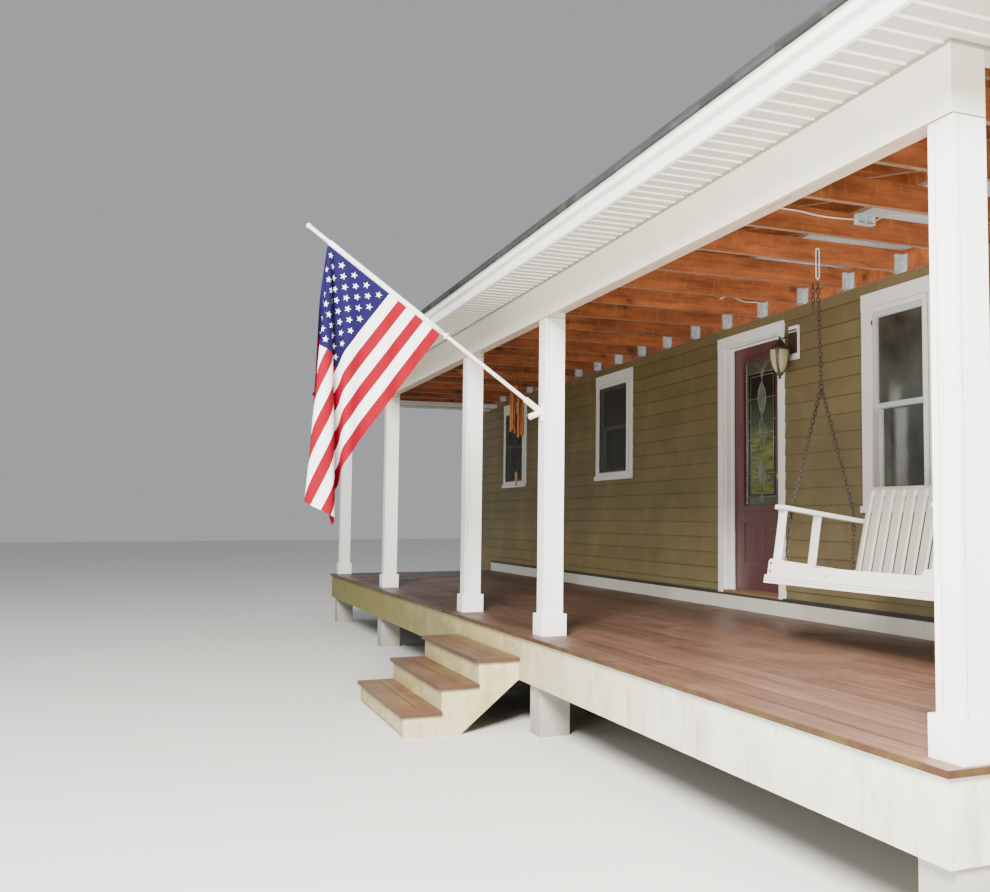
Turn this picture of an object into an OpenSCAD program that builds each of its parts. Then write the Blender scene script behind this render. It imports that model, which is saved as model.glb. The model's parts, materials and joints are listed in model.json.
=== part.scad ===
// Farmhouse front porch: deck, steps, boxed posts, open joist ceiling, lean-to roof
// and the stretch of house wall that carries it, with a front door and a porch swing.
// Millimetres. X runs along the wall, -Y is the front, Z = 0 is the ground.
// Y = 0 is the middle of the house wall.

/* [House wall] */
// Width of the stretch of house wall
house_w = 14760; // [13800:10:16000]
// Thickness of the wall, from the siding's face to the inside
wall_t = 150; // [130:5:200]
// Height of the concrete foundation
foundation_h = 440; // [300:10:520]
// Height of the wall above the deck
wall_h = 3240; // [3150:10:3600]
// Thickness of the siding at the butt of a board
siding_t = 20; // [14:1:28]
// Height of siding that shows on each board
siding_pitch = 130; // [90:5:180]
// Width of a corner board
corner_w = 110; // [70:5:150]
// Height of the white base board above the deck
base_board_h = 128; // [90:2:180]

/* [Deck] */
// Height of the deck above the ground
deck_h = 630; // [580:5:760]
// Length of the porch over the faces of the end posts
porch_l = 12889; // [12000:1:13500]
// Depth of the porch, from the wall to the front face of the posts
porch_d = 2127; // [1900:1:2600]
// Thickness of the deck boards
board_t = 25; // [19:1:38]
// Width of a deck board
board_w = 138; // [90:1:190]
// Gap between deck boards
board_gap = 5; // [3:1:8]
// How far the skirt stands in front of the posts
skirt_out = 72; // [40:1:120]
// How far the deck's edge stands in front of the skirt
nosing_out = 19; // [10:1:40]
// Height of the skirt board
skirt_h = 280; // [200:5:330]
// Thickness of the skirt and trim boards
trim_t = 19; // [15:1:30]
// Side of a square pier
pier_w = 200; // [140:5:300]

/* [Steps] */
// Width of the steps over their sides
steps_w = 1590; // [1200:10:1800]
// Rise from one tread to the next
rise = 157.5; // [140:0.5:185]
// Run from one tread to the next
run = 240; // [220:5:320]
// How far a tread stands past its riser and the sides
tread_out = 22; // [10:1:35]

/* [Posts and beam] */
// Side of a boxed post
post_w = 133; // [110:1:200]
// Height of a post's plinth
plinth_h = 140; // [90:5:220]
// Clear height under the beam
clear_h = 2071; // [1950:1:2300]
// Height of the beam's outer face below the soffit
beam_h = 238; // [180:1:320]
// Step between the beam's outer board and its underside
beam_lip = 32; // [8:1:40]

/* [Roof] */
// Height of the joists' undersides above the deck
ceiling_h = 2361; // [2330:1:2400]
// Depth of a joist or rafter
joist_h = 140; // [120:5:190]
// Thickness of a joist or rafter
joist_t = 38; // [30:1:50]
// Spacing of the joists
joist_pitch = 609.6; // [400:0.1:700]
// Overhang of the eaves past the beam
eave_out = 323; // [250:1:450]
// Height of the fascia
fascia_h = 125; // [100:1:200]
// Rise of the roof for one unit of run
slope = 0.25; // [0.15:0.01:0.35]
// Height of the upper step of the fascia
fascia_step = 58; // [30:1:80]

/* [Front door] */
// Middle of the doorway along the wall
door_x = 1188; // [900:1:1600]
// Width of the door
door_w = 900; // [760:5:1000]
// Height of the door
door_leaf_h = 2040; // [1950:5:2150]
// Thickness of the door
door_t = 45; // [35:1:60]
// Height of the threshold's top above the deck
sill_h = 150; // [130:1:200]
// Clearance round the door
door_gap = 7; // [5:0.5:10]
// Width of the casings
casing_w = 100; // [70:1:140]
// Width of the head casings
head_w = 108; // [80:1:160]

/* [Windows] */
// Middle of the tall window
window_1_x = 3230; // [2700:1:3600]
// Width of the tall window's opening
window_1_w = 640; // [450:5:900]
// Height of the tall window's opening
window_1_h = 1354; // [900:5:1500]
// Middle of the first small window
window_2_x = -1822; // [-2400:1:-1000]
// Middle of the second small window
window_3_x = -5426; // [-5900:1:-4600]
// Width of the small windows' openings
window_w = 848; // [600:5:1000]
// Height of the small windows' openings
window_h = 992; // [700:5:1200]
// Height of the tops of the openings above the deck
window_top = 2192; // [2050:1:2230]

/* [Porch swing] */
// Width of the swing
swing_w = 1620; // [1300:10:1900]
// Depth of the seat
seat_d = 495; // [420:5:540]
// Height of the seat above the deck
seat_h = 487; // [420:1:560]
// Rise of the back above the seat
back_rise = 523; // [380:1:560]
// Backward lean of the back over its height
back_lean = 39; // [0:1:150]
// Backward tilt at which the bench hangs, in degrees
seat_tilt = 8.5; // [0:0.5:12]
// Distance of the hooks from the wall
hook_d = 700; // [620:5:900]
// Height above the deck where the chains hang
hook_h = 2230; // [2150:5:2300]
// Height above the deck where each chain parts in two
fork_h = 1563; // [1400:5:1700]
// Thickness of the swing's chains
chain_d = 16; // [10:1:24]

/* [Lantern and flag] */
// Distance of the lantern from the middle of the doorway
lantern_dx = 737; // [650:1:900]
// Height of the lantern's middle above the deck
lantern_h = 1970; // [1800:5:2100]
// Diameter of the lantern's glass at the top
lantern_d = 150; // [110:2:190]
// Height of the flag bracket above the deck
bracket_h = 1450; // [1300:5:1700]
// Reach of the bracket's socket for the pole
bracket_out = 135; // [100:1:170]
// Length of the flag pole
pole_l = 1800; // [1500:10:2000]
// Diameter of the flag pole
pole_d = 25; // [20:1:32]
// Angle of the flag pole above level
pole_angle = 36; // [30:1:55]
// Height of the flag along the pole
flag_hoist = 900; // [750:10:1000]
// Length of the flag
flag_fly = 1500; // [1200:10:1600]

/* [Hidden] */
$fn = 32;

// Places along Y, all from the siding's face
wall_face = -wall_t / 2;
wall_back = wall_t / 2;
frame_face = wall_face + siding_t;
post_front = wall_face - porch_d;
post_back = post_front + post_w;
skirt_face = post_front - skirt_out;
deck_front = skirt_face - nosing_out;
eave_front = post_front - eave_out;
// Places along X
post_face = porch_l / 2;
skirt_side = post_face + trim_t;
deck_side = skirt_side + nosing_out;
eave_side = post_face + eave_out;
fascia_in = 2 * trim_t;
house_side = house_w / 2;
post_mid = post_face - post_w / 2;
// Middles of the posts, from the near end
post_x = [post_mid, 2243, 227, -3211, -post_mid];
steps_x = (post_x[1] + post_x[2]) / 2;
// Heights
wall_top = deck_h + wall_h;
deck_under = deck_h - board_t;
skirt_low = deck_under - skirt_h;
beam_low = deck_h + clear_h;
soffit_z = beam_low + beam_h;
ceiling_z = deck_h + ceiling_h;
eave_z = soffit_z + fascia_h;
sheet_t = 12;
shingle_t = 14;
// Joists, counted from the near end, and the short last bay
joist_n = floor((2 * post_mid - joist_t) / joist_pitch);
joist_x = [for (i = [0:joist_n]) post_mid - i * joist_pitch, -post_mid];
// Doorway
door_open_w = door_w + 2 * door_gap;
jamb_t = 20;
door_z = deck_h + sill_h;
door_open_h = door_leaf_h + 2 * door_gap;
sill_t = sill_h - base_board_h;
// Strip of the jambs' edges that the door casings leave in view
reveal = 9;
casing_side = door_open_w / 2 + reveal;
door_face = wall_back - door_t;
hole_w = door_open_w + 2 * jamb_t;
hole_top = door_z + door_open_h + jamb_t;
// Windows: middle, width and height
windows = [[window_1_x, window_1_w, window_1_h], [window_2_x, window_w, window_h],
    [window_3_x, window_w, window_h]];
window_head = deck_h + window_top;
head_top = window_head + head_w;
// Longer than any piece, for cutting
reach = 2 * house_w;

// Shared forms
module block(x0, x1, y0, y1, z0, z1) {
    translate([x0, y0, z0]) cube([x1 - x0, y1 - y0, z1 - z0]);
}

module along_x(length) {
    rotate([90, 0, 90]) linear_extrude(length, center = true) children();
}

// Centred pieces at both ends of something
module at_ends(half, x = 0) {
    for (s = [-1, 1]) translate([x + s * half, 0, 0]) children();
}

module round_bar(a, b, d) {
    v = b - a;
    flat = norm([v[0], v[1]]);
    translate(a) rotate([0, atan2(flat, v[2]), atan2(v[1], v[0])]) cylinder(h = norm(v), d = d);
}

// House wall
module doorway(y0, y1) {
    block(door_x - hole_w / 2, door_x + hole_w / 2, y0, y1, foundation_h - 1, hole_top);
}

module window_holes(y0, y1) {
    for (w = windows)
        block(w[0] - w[1] / 2, w[0] + w[1] / 2, y0, y1, window_head - w[2], window_head);
}

module foundation() color("darkgray") {
    block(-house_side, house_side, wall_face, wall_back, 0, foundation_h);
}

module wall_far() color("burlywood") difference() {
    block(-house_side, door_x - hole_w / 2, frame_face, wall_back, foundation_h, wall_top);
    window_holes(frame_face - 1, wall_back + 1);
}

module wall_near() color("burlywood") difference() {
    block(door_x + hole_w / 2, house_side, frame_face, wall_back, foundation_h, wall_top);
    window_holes(frame_face - 1, wall_back + 1);
}

module wall_over_door() color("burlywood") {
    block(door_x - hole_w / 2, door_x + hole_w / 2, frame_face, wall_back, hole_top, wall_top);
}

// Each board leans from its thick butt to a thin top under the next one
module siding_profile() {
    count = ceil((wall_top - foundation_h) / siding_pitch);
    thin = siding_t * 0.55;
    intersection() {
        union() for (i = [0:count - 1]) {
            z = foundation_h + i * siding_pitch;
            polygon([[frame_face, z], [wall_face, z], [frame_face - thin, z + siding_pitch],
                [frame_face, z + siding_pitch]]);
        }
        translate([wall_face - 1, foundation_h]) square([siding_t + 2, wall_top - foundation_h]);
    }
}

// What the casings and sills cover
module trim_holes(y0, y1) {
    x = casing_side + casing_w;
    block(door_x - x, door_x + x, y0, y1, deck_h + base_board_h, head_top);
    for (w = windows)
        block(w[0] - w[1] / 2 - casing_w, w[0] + w[1] / 2 + casing_w, y0, y1,
            window_head - w[2] - sill_h_out, head_top);
}

// Between the outline of the ceiling and the roof planes, where they meet the wall
module under_roof(y0, y1, drop) {
    top = roof_z(wall_face) - drop;
    side = eave_z + slope * (eave_side - post_face) - drop;
    flat = eave_side - (wall_face - eave_front);
    translate([0, y1, 0]) rotate([90, 0, 0]) linear_extrude(y1 - y0)
        polygon([[-post_face, ceiling_z], [-post_face, side], [-flat, top], [flat, top],
            [post_face, side], [post_face, ceiling_z]]);
}

// The siding stops at the ceiling, as the joists' ledgers stand on the sheathing
module lap_siding() color("darkkhaki") difference() {
    along_x(2 * (house_side - corner_w)) siding_profile();
    doorway(wall_face - 1, frame_face + 1);
    trim_holes(wall_face - 1, frame_face + 1);
    under_roof(wall_face - 1, frame_face + 1, 0);
}

corner_out = 4;
module corner_boards() color("white") {
    at_ends(house_side - corner_w / 2)
        block(-corner_w / 2, corner_w / 2, wall_face - corner_out, frame_face, foundation_h, wall_top);
}

// White board on the siding where the wall meets the deck, with a drip cap
cap_t = 12;
cap_out = 8;
module base_board() color("white") {
    y0 = wall_face - trim_t;
    z1 = deck_h + base_board_h;
    edge = casing_side + casing_w;
    block(-skirt_side, skirt_side, y0, wall_face, deck_h, z1);
    block(-skirt_side, door_x - edge, y0 - cap_out, wall_face, z1, z1 + cap_t);
    block(door_x + edge, skirt_side, y0 - cap_out, wall_face, z1, z1 + cap_t);
}

// Front door. The casings lie in the siding's plane, the head a little in front
casing_out = 2;
head_out = 3;
module casing(x, w, top, bottom) {
    y = wall_face - casing_out;
    at_ends(w / 2 + casing_w / 2, x)
        block(-casing_w / 2, casing_w / 2, y, frame_face, bottom, top);
    block(x - w / 2 - casing_w, x + w / 2 + casing_w, y - head_out, frame_face, top, head_top);
}

stop_t = 12;
stop_w = 18;
module door_frame() color("white") {
    top = door_z + door_open_h;
    y1 = door_face - door_gap;
    at_ends(door_open_w / 2 + jamb_t / 2, door_x)
        block(-jamb_t / 2, jamb_t / 2, frame_face, wall_back, door_z, top);
    block(door_x - hole_w / 2, door_x + hole_w / 2, frame_face, wall_back, top, top + jamb_t);
    at_ends(door_open_w / 2 - stop_t / 2, door_x)
        block(-stop_t / 2, stop_t / 2, y1 - stop_w, y1, door_z, top);
    block(door_x - door_open_w / 2, door_x + door_open_w / 2, y1 - stop_w, y1, top - stop_t, top);
    casing(door_x, 2 * casing_side, top + reveal, deck_h + base_board_h);
    block(door_x - hole_w / 2, door_x + hole_w / 2, wall_face, wall_back, foundation_h,
        door_z - sill_t);
}

nose = 5;
module threshold() color("peru") {
    block(door_x - casing_side, door_x + casing_side, wall_face - nose, frame_face,
        door_z - sill_t, door_z);
    block(door_x - hole_w / 2, door_x + hole_w / 2, frame_face, wall_back, door_z - sill_t, door_z);
}

lite_w = 632;
lite_h = 1297;
lite_low = 655;
lite_in = 46;
lite_out = 14;
panel_w = 236;
panel_h = 345;
panel_low = 217;
panel_mid = 172;
panel_deep = 8;
panel_bevel = 52;

// Front view of the door as rectangles from its middle and foot, given a depth
module on_door(x0, x1, z0, z1, y0, y1) {
    foot = door_z + door_gap;
    block(door_x + x0, door_x + x1, y0, y1, foot + z0, foot + z1);
}

module lite(inset, y0, y1) {
    on_door(-lite_w / 2 + inset, lite_w / 2 - inset, lite_low + inset, lite_low + lite_h - inset,
        y0, y1);
}

module panels(inset, y0, y1) {
    for (s = [-1, 1])
        on_door(s * panel_mid - panel_w / 2 + inset, s * panel_mid + panel_w / 2 - inset,
            panel_low + inset, panel_low + panel_h - inset, y0, y1);
}

// Moulded lite frame and two raised panels, alike on both faces
module front_door() color("maroon") {
    difference() {
        union() {
            on_door(-door_w / 2, door_w / 2, 0, door_leaf_h, door_face, wall_back);
            lite(0, door_face - lite_out, wall_back + lite_out);
        }
        lite(lite_in, door_face - lite_out - 1, wall_back + lite_out + 1);
        panels(0, door_face - 1, door_face + panel_deep);
        panels(0, wall_back - panel_deep, wall_back + 1);
    }
    panels(panel_bevel, door_face + panel_deep / 4, wall_back - panel_deep / 4);
}

pane_t = 18;
module door_glass() color("lightgreen") {
    mid = (door_face + wall_back) / 2;
    lite(lite_in, mid - pane_t / 2, mid + pane_t / 2);
}

knob_h = 930;
knob_in = 70;
module door_knob() color("goldenrod") {
    x = door_x + door_w / 2 - knob_in;
    z = door_z + door_gap + knob_h;
    for (s = [-1, 1])
        translate([x, s < 0 ? door_face : wall_back, z]) rotate([s * -90, 0, 0]) {
            cylinder(h = 8, d = 62);
            cylinder(h = 34, d = 22);
            translate([0, 0, 46]) sphere(d = 54);
        }
}

// Windows: casing, frame, two sashes that pass each other and a sill
sash_w = 36;
sash_t = 36;
frame_t = 35;
frame_out = 17;
sash_in = 8;
sill_h_out = 44;
sill_out = 20;
sill_horn = 6;
// Height of the underside of the rails where the two sashes meet
function rail_low(w) = window_head - w[2] / 2 + (w[1] > w[2] / 2 ? rail_up : 0) - sash_w / 2;
rail_up = 18;
module window_unit(w) {
    x0 = w[0] - w[1] / 2;
    x1 = w[0] + w[1] / 2;
    z0 = window_head - w[2];
    y1 = wall_face + sash_in;
    casing(w[0], w[1], window_head, z0);
    difference() {
        block(x0, x1, wall_face - frame_out, wall_back, z0, window_head);
        block(x0 + frame_t, x1 - frame_t, wall_face - frame_out - 1, wall_back + 1, z0 + frame_t,
            window_head - frame_t);
    }
    sash(x0 + frame_t, x1 - frame_t, y1, rail_low(w), window_head - frame_t);
    sash(x0 + frame_t, x1 - frame_t, y1 + sash_t, z0 + frame_t, rail_low(w) + sash_w);
    block(x0 - casing_w - sill_horn, x1 + casing_w + sill_horn, wall_face - sill_out,
        wall_face, z0 - sill_h_out, z0);
    block(x0 - casing_w, x1 + casing_w, wall_face, frame_face, z0 - sill_h_out, z0);
}

module sash(x0, x1, y, z0, z1) {
    difference() {
        block(x0, x1, y, y + sash_t, z0, z1);
        block(x0 + sash_w, x1 - sash_w, y - 1, y + sash_t + 1, z0 + sash_w, z1 - sash_w);
    }
}

module window_1() color("white") window_unit(windows[0]);
module window_2() color("white") window_unit(windows[1]);
module window_3() color("white") window_unit(windows[2]);

glass_t = 6;
module window_glass() color("slategray") {
    y1 = wall_face + sash_in + (sash_t - glass_t) / 2;
    for (w = windows) {
        x0 = w[0] - w[1] / 2 + frame_t + sash_w;
        x1 = w[0] + w[1] / 2 - frame_t - sash_w;
        z0 = window_head - w[2] + frame_t + sash_w;
        block(x0, x1, y1, y1 + glass_t, rail_low(w) + sash_w, window_head - frame_t - sash_w);
        block(x0, x1, y1 + sash_t, y1 + sash_t + glass_t, z0, rail_low(w));
    }
}

// Deck
pier_in = 45;
module piers() color("gray") {
    for (x = post_x) {
        px = min(max(x, -skirt_side + trim_t + pier_w / 2), skirt_side - trim_t - pier_w / 2);
        block(px - pier_w / 2, px + pier_w / 2, skirt_face + pier_in,
            skirt_face + pier_in + pier_w, 0, deck_under - rim_h);
    }
}

rim_t = 38;
rim_h = 235;
deck_joist_pitch = 406.4;
module deck_frame() color("peru") {
    x1 = skirt_side - trim_t;
    y0 = skirt_face + trim_t;
    z0 = deck_under - rim_h;
    block(-x1, x1, y0, y0 + rim_t, z0, deck_under);
    block(-x1, x1, wall_face - rim_t, wall_face, z0, deck_under);
    n = floor((2 * x1 - rim_t) / deck_joist_pitch);
    for (i = [0:n]) {
        x = -x1 + i * deck_joist_pitch;
        block(x, x + rim_t, y0 + rim_t, wall_face - rim_t, z0, deck_under);
    }
    block(x1 - rim_t, x1, y0 + rim_t, wall_face - rim_t, z0, deck_under);
}

// The boards run along the wall and a border board closes the three outer edges
module deck_floor() color("sienna") difference() {
    block(-deck_side, deck_side, deck_front, wall_face, deck_under, deck_h);
    groove = board_t / 6;
    step = board_w + board_gap;
    border = deck_front + step - board_gap;
    for (y = [border:step:wall_face - board_w])
        block(-deck_side + board_w, deck_side - board_w, y, y + board_gap, deck_h - groove, deck_h + 1);
    at_ends(deck_side - board_w - board_gap / 2)
        block(-board_gap / 2, board_gap / 2, border, wall_face + 1, deck_h - groove, deck_h + 1);
}

module skirt_boards() color("ivory") {
    block(-skirt_side, skirt_side, skirt_face, skirt_face + trim_t, skirt_low, deck_under);
    at_ends(skirt_side - trim_t / 2)
        block(-trim_t / 2, trim_t / 2, skirt_face + trim_t, wall_face, skirt_low, deck_under);
}

// Steps
tread_t = 25;
tread_gap = 4;
tread_groove = 8;
step_n = 3;
foot_l = 365;
function tread_z(i) = deck_h - i * rise;
function riser_y(i) = skirt_face - (tread_w - tread_out) - (i - 1) * run;
tread_w = 290;

module step_side() {
    points = [
        [skirt_face, tread_z(1) - tread_t],
        for (i = [1:step_n], p = [[riser_y(i), tread_z(i) - tread_t],
            [riser_y(i), i < step_n ? tread_z(i + 1) - tread_t : 0]]) p,
        [riser_y(step_n) + foot_l, 0],
        [skirt_face, skirt_low]
    ];
    polygon(points);
}

module step_sides() color("ivory") {
    at_ends(steps_w / 2 - trim_t, steps_x) along_x(2 * trim_t) step_side();
}

riser_up = 20;
module step_risers() color("ivory") {
    for (i = [1:step_n])
        translate([steps_x, 0, 0])
            block(-steps_w / 2 + 2 * trim_t, steps_w / 2 - 2 * trim_t, riser_y(i),
                riser_y(i) + trim_t, i < step_n ? tread_z(i + 1) : riser_up, tread_z(i) - tread_t);
}

module tread(i) {
    half = steps_w / 2 + tread_out;
    y0 = riser_y(i) - tread_out;
    y1 = i == 1 ? skirt_face : riser_y(i - 1);
    z1 = tread_z(i);
    translate([steps_x, 0, 0]) difference() {
        block(-half, half, y0, y1, z1 - tread_t, z1);
        block(-half + board_w, half - board_w, y0 + board_w, y0 + board_w + tread_gap,
            z1 - tread_groove, z1 + 1);
        at_ends(half - board_w)
            block(-tread_gap / 2, tread_gap / 2, y0 + board_w, y1 + 1, z1 - tread_groove, z1 + 1);
    }
}

module tread_1() color("sienna") tread(1);
module tread_2() color("sienna") tread(2);
module tread_3() color("sienna") tread(3);

// Posts, boxed in boards, with a plinth
module post(x) {
    e = trim_t;
    translate([x, post_front + post_w / 2, deck_h]) {
        translate([-post_w / 2, -post_w / 2, 0]) cube([post_w, post_w, clear_h]);
        translate([-post_w / 2 - e, -post_w / 2 - e, 0])
            cube([post_w + 2 * e, post_w + 2 * e, plinth_h]);
    }
}

module post_1() color("white") post(post_x[0]);
module post_2() color("white") post(post_x[1]);
module post_3() color("white") post(post_x[2]);
module post_4() color("white") post(post_x[3]);
module post_5() color("white") post(post_x[4]);

// Beam over the posts: the outer board stands a little proud and hangs below the underside
board_out = 6;
module front_beam() color("white") difference() {
    union() {
        block(-post_face, post_face, post_front, post_back, beam_low, ceiling_z);
        block(-post_face, post_face, post_front - board_out, post_front, beam_low, soffit_z);
    }
    difference() {
        block(-post_face + trim_t, post_face - trim_t, post_front + trim_t, post_back + 1,
            beam_low - 1, beam_low + beam_lip);
        for (x = post_x) block(x - post_w / 2, x + post_w / 2, post_front, post_back + 1, 0, reach);
    }
}

// Headers from the front beam to the wall, level with the soffit
module end_beams() color("white") {
    at_ends(post_mid) block(-post_w / 2, post_w / 2, post_back, wall_face, soffit_z, ceiling_z);
}

// Ceiling and roof
ledger_t = 38;
module ledger() color("chocolate") {
    y0 = wall_face - ledger_t;
    block(-post_face, post_face, y0, frame_face, ceiling_z, ceiling_z + joist_h);
    difference() {
        under_roof(y0, frame_face, slope * ledger_t);
        under_roof(y0 - 1, frame_face + 1, slope * ledger_t + joist_h);
        block(-house_side, house_side, y0 - 1, frame_face + 1, 0, ceiling_z + joist_h);
    }
}

joist_in = 40;
module ceiling_joists() color("chocolate") {
    for (x = joist_x)
        block(x - joist_t / 2, x + joist_t / 2, post_front + joist_in, wall_face - ledger_t,
            ceiling_z, ceiling_z + joist_h);
}

hanger_l = 60;
hanger_t = 2;
flange_w = 36;
// U-shaped straps under the joists' ends, with flanges on the ledger
module joist_hangers() color("silver") {
    y1 = wall_face - ledger_t;
    z0 = ceiling_z - hanger_t;
    z1 = ceiling_z + joist_h * 0.8;
    for (i = [1:len(joist_x) - 2]) {
        at_ends(joist_t / 2 + hanger_t / 2, joist_x[i])
            block(-hanger_t / 2, hanger_t / 2, y1 - hanger_l, y1, z0, z1);
        translate([joist_x[i], 0, 0])
            block(-joist_t / 2 - hanger_t, joist_t / 2 + hanger_t, y1 - hanger_l, y1, z0, ceiling_z);
        at_ends(joist_t / 2 + flange_w / 2, joist_x[i])
            block(-flange_w / 2, flange_w / 2, y1 - hanger_t, y1, z0, z1);
    }
}

function roof_z(y) = eave_z + slope * (y - eave_front);

// Solid under the roof planes, lifted by a height, with hipped ends
module roof_block(lift, out, low) {
    xe = eave_side + out;
    yf = eave_front - out;
    z0 = eave_z - slope * out + lift;
    hip = wall_face - yf;
    z1 = z0 + slope * hip;
    intersection() {
        along_x(2 * xe + 2) polygon([[yf, low], [yf, z0], [wall_face, z1], [wall_face, low]]);
        translate([0, wall_face + 1, 0]) rotate([90, 0, 0]) linear_extrude(hip + 2)
            polygon([[-xe, low], [-xe, z0], [-xe + hip, z1], [xe - hip, z1], [xe, z0], [xe, low]]);
    }
}

module rafters() color("sienna") intersection() {
    union() {
        for (i = [1:len(joist_x) - 2]) {
            x = joist_x[i] + (joist_x[i] > 0 ? joist_t : -joist_t);
            block(x - joist_t / 2, x + joist_t / 2, eave_front + fascia_in, wall_face - ledger_t, 0, reach);
        }
        for (s = [-1, 1], y = [post_back + 300:joist_pitch:wall_face - 300])
            translate([s * (eave_side - fascia_in), y, 0])
                block(s > 0 ? -(y - eave_front) : 0, s > 0 ? 0 : y - eave_front, 0, joist_t, 0, reach);
    }
    difference() {
        roof_block(0, 0, soffit_z + 14);
        roof_block(-joist_h * 1.03, 0, 0);
        block(-post_face, post_face, post_front - 1, post_back + 1, 0, ceiling_z);
        end_beams();
        ceiling_joists();
    }
}

module roof_sheathing() color("tan") difference() {
    roof_block(sheet_t, 0, eave_z - 20);
    roof_block(0, 0, 0);
    block(-reach, reach, eave_front - 9, wall_face + 9, 0, eave_z);
}

// The shingles' doubled edge stands out past the fascia and hangs over it
edge_out = 16;
edge_down = 14;
module shingles() color("dimgray") difference() {
    roof_block(sheet_t + shingle_t, edge_out, eave_z - edge_down);
    roof_block(sheet_t, 0, 0);
    block(-eave_side, eave_side, eave_front, wall_face + 9, 0, eave_z);
}

soffit_t = 12;
module soffit() color("gainsboro") {
    x1 = eave_side - fascia_in;
    difference() {
        block(-x1, x1, eave_front + fascia_in, wall_face, soffit_z, soffit_z + soffit_t);
        block(-post_face, post_face, post_front, wall_face + 1, soffit_z - 1, soffit_z + soffit_t + 1);
    }
}

// A U of boards along the three eaves
module eave_boards(out, t, z0, z1) {
    difference() {
        block(-eave_side + out, eave_side - out, eave_front + out, wall_face, z0, z1);
        block(-eave_side + out + t, eave_side - out - t, eave_front + out + t, wall_face + 1, 0, reach);
    }
}

fascia_drop = 8;
module fascia() color("white") {
    eave_boards(trim_t, trim_t, soffit_z - fascia_drop, eave_z);
    eave_boards(0, trim_t, eave_z - fascia_step, eave_z);
}

// Lantern on the wall
lantern_x = door_x + lantern_dx;
lantern_out = 140;
block_t = 22;
block_w = 128;
module lantern_block() color("white") {
    block(lantern_x - block_w / 2, lantern_x + block_w / 2, wall_face - block_t, wall_face,
        deck_h + lantern_h - 4, deck_h + lantern_h + 255);
}

module lantern_at() {
    translate([lantern_x, wall_face - lantern_out, deck_h + lantern_h]) children();
}

// Half outline of the glass, as radius and height
glass_line = [[0.17, -112], [0.28, -92], [0.38, -60], [0.45, -20], [0.49, 20], [0.5, 58]];
function glass_at(add) = [for (p = glass_line) [p[0] * lantern_d + add, p[1]]];
plate_w = 124;
plate_h = 165;
plate_t = 8;
elbow_out = 53;
strap_t = 6;

module wall_lantern() color("saddlebrown") {
    plate_z = deck_h + lantern_h + 122;
    plate_y = wall_face - block_t;
    brim = lantern_d / 2 + 8;
    block(lantern_x - plate_w / 2, lantern_x + plate_w / 2, plate_y - plate_t, plate_y,
        plate_z - plate_h / 2, plate_z + plate_h / 2);
    elbow = [lantern_x, plate_y - plate_t - elbow_out, plate_z + 43];
    round_bar([lantern_x, plate_y - plate_t / 2, plate_z - 7], elbow, 12);
    translate(elbow) sphere(d = 16);
    round_bar(elbow, [lantern_x, wall_face - lantern_out, deck_h + lantern_h + 140], 12);
    lantern_at() {
        rotate_extrude() polygon([[0, 58.3], [brim, 58.3], [brim, 68], [50, 88], [34, 112], [24, 134],
            [10, 140], [6, 150], [11, 158], [6, 166], [0, 168]]);
        rotate_extrude() polygon([[0, -112.3], [26, -112.3], [30, -118], [22, -134], [8, -140],
            [12, -150], [0, -165]]);
        for (a = [45:90:315])
            rotate([0, 0, a]) rotate([90, 0, 0]) linear_extrude(8, center = true)
                polygon(concat([[0.17 * lantern_d + strap_t, -116]], glass_at(strap_t),
                    [[0.5 * lantern_d + strap_t, 62], [0.5 * lantern_d, 62]],
                    [for (i = [len(glass_line) - 1:-1:0]) glass_at(0.4)[i]],
                    [[0.17 * lantern_d + 0.4, -116]]));
    }
}

module lantern_glass() color("wheat") lantern_at() {
    rotate_extrude() polygon(concat([[0, -112]], glass_at(0), [[0, 58]]));
}

// Flag on a pole in a bracket on the second post
flag_x = post_x[1];
socket_d = pole_d + 14;
socket_gap = 0.6;
pole_floor = 14;
spare_angle = -24;
spare_out = 88;
spare_floor = 36;
plate_half = 60;

module socket_at(angle) {
    translate([flag_x, post_front - 5, deck_h + bracket_h]) rotate([90 - angle, 0, 0]) children();
}

// Cast bracket with one socket for the pole and a lower empty one
module flag_bracket() color("white") difference() {
    union() {
        block(flag_x - 25, flag_x + 25, post_front - 10, post_front, deck_h + bracket_h - plate_half,
            deck_h + bracket_h + plate_half);
        socket_at(pole_angle) cylinder(h = bracket_out, d = socket_d);
        socket_at(spare_angle) cylinder(h = spare_out, d = socket_d);
    }
    socket_at(pole_angle) translate([0, 0, pole_floor]) cylinder(h = bracket_out, d = pole_d + socket_gap);
    socket_at(spare_angle) translate([0, 0, spare_floor]) cylinder(h = spare_out, d = pole_d + socket_gap);
    block(flag_x - 50, flag_x + 50, post_front, post_front + 50, deck_h, deck_h + clear_h);
}

knob_d = 34;
module flag_pole() color("white") socket_at(pole_angle) {
    translate([0, 0, pole_floor + 0.2]) cylinder(h = pole_l, d = pole_d);
    translate([0, 0, pole_floor + pole_l + knob_d / 3]) sphere(d = knob_d);
}

module flag() color("firebrick") {
    y1 = post_front - (pole_l - 60) * cos(pole_angle);
    z1 = deck_h + bracket_h + (pole_l - 60) * sin(pole_angle);
    dy = flag_hoist * cos(pole_angle);
    dz = flag_hoist * sin(pole_angle);
    translate([flag_x, 0, 0]) along_x(20) translate([0, -pole_d / 2 - 8])
        polygon([[y1, z1], [y1 + dy, z1 - dz], [y1 + dy, z1 - dz - flag_fly * 0.6],
            [y1, z1 - flag_fly]]);
}

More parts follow.
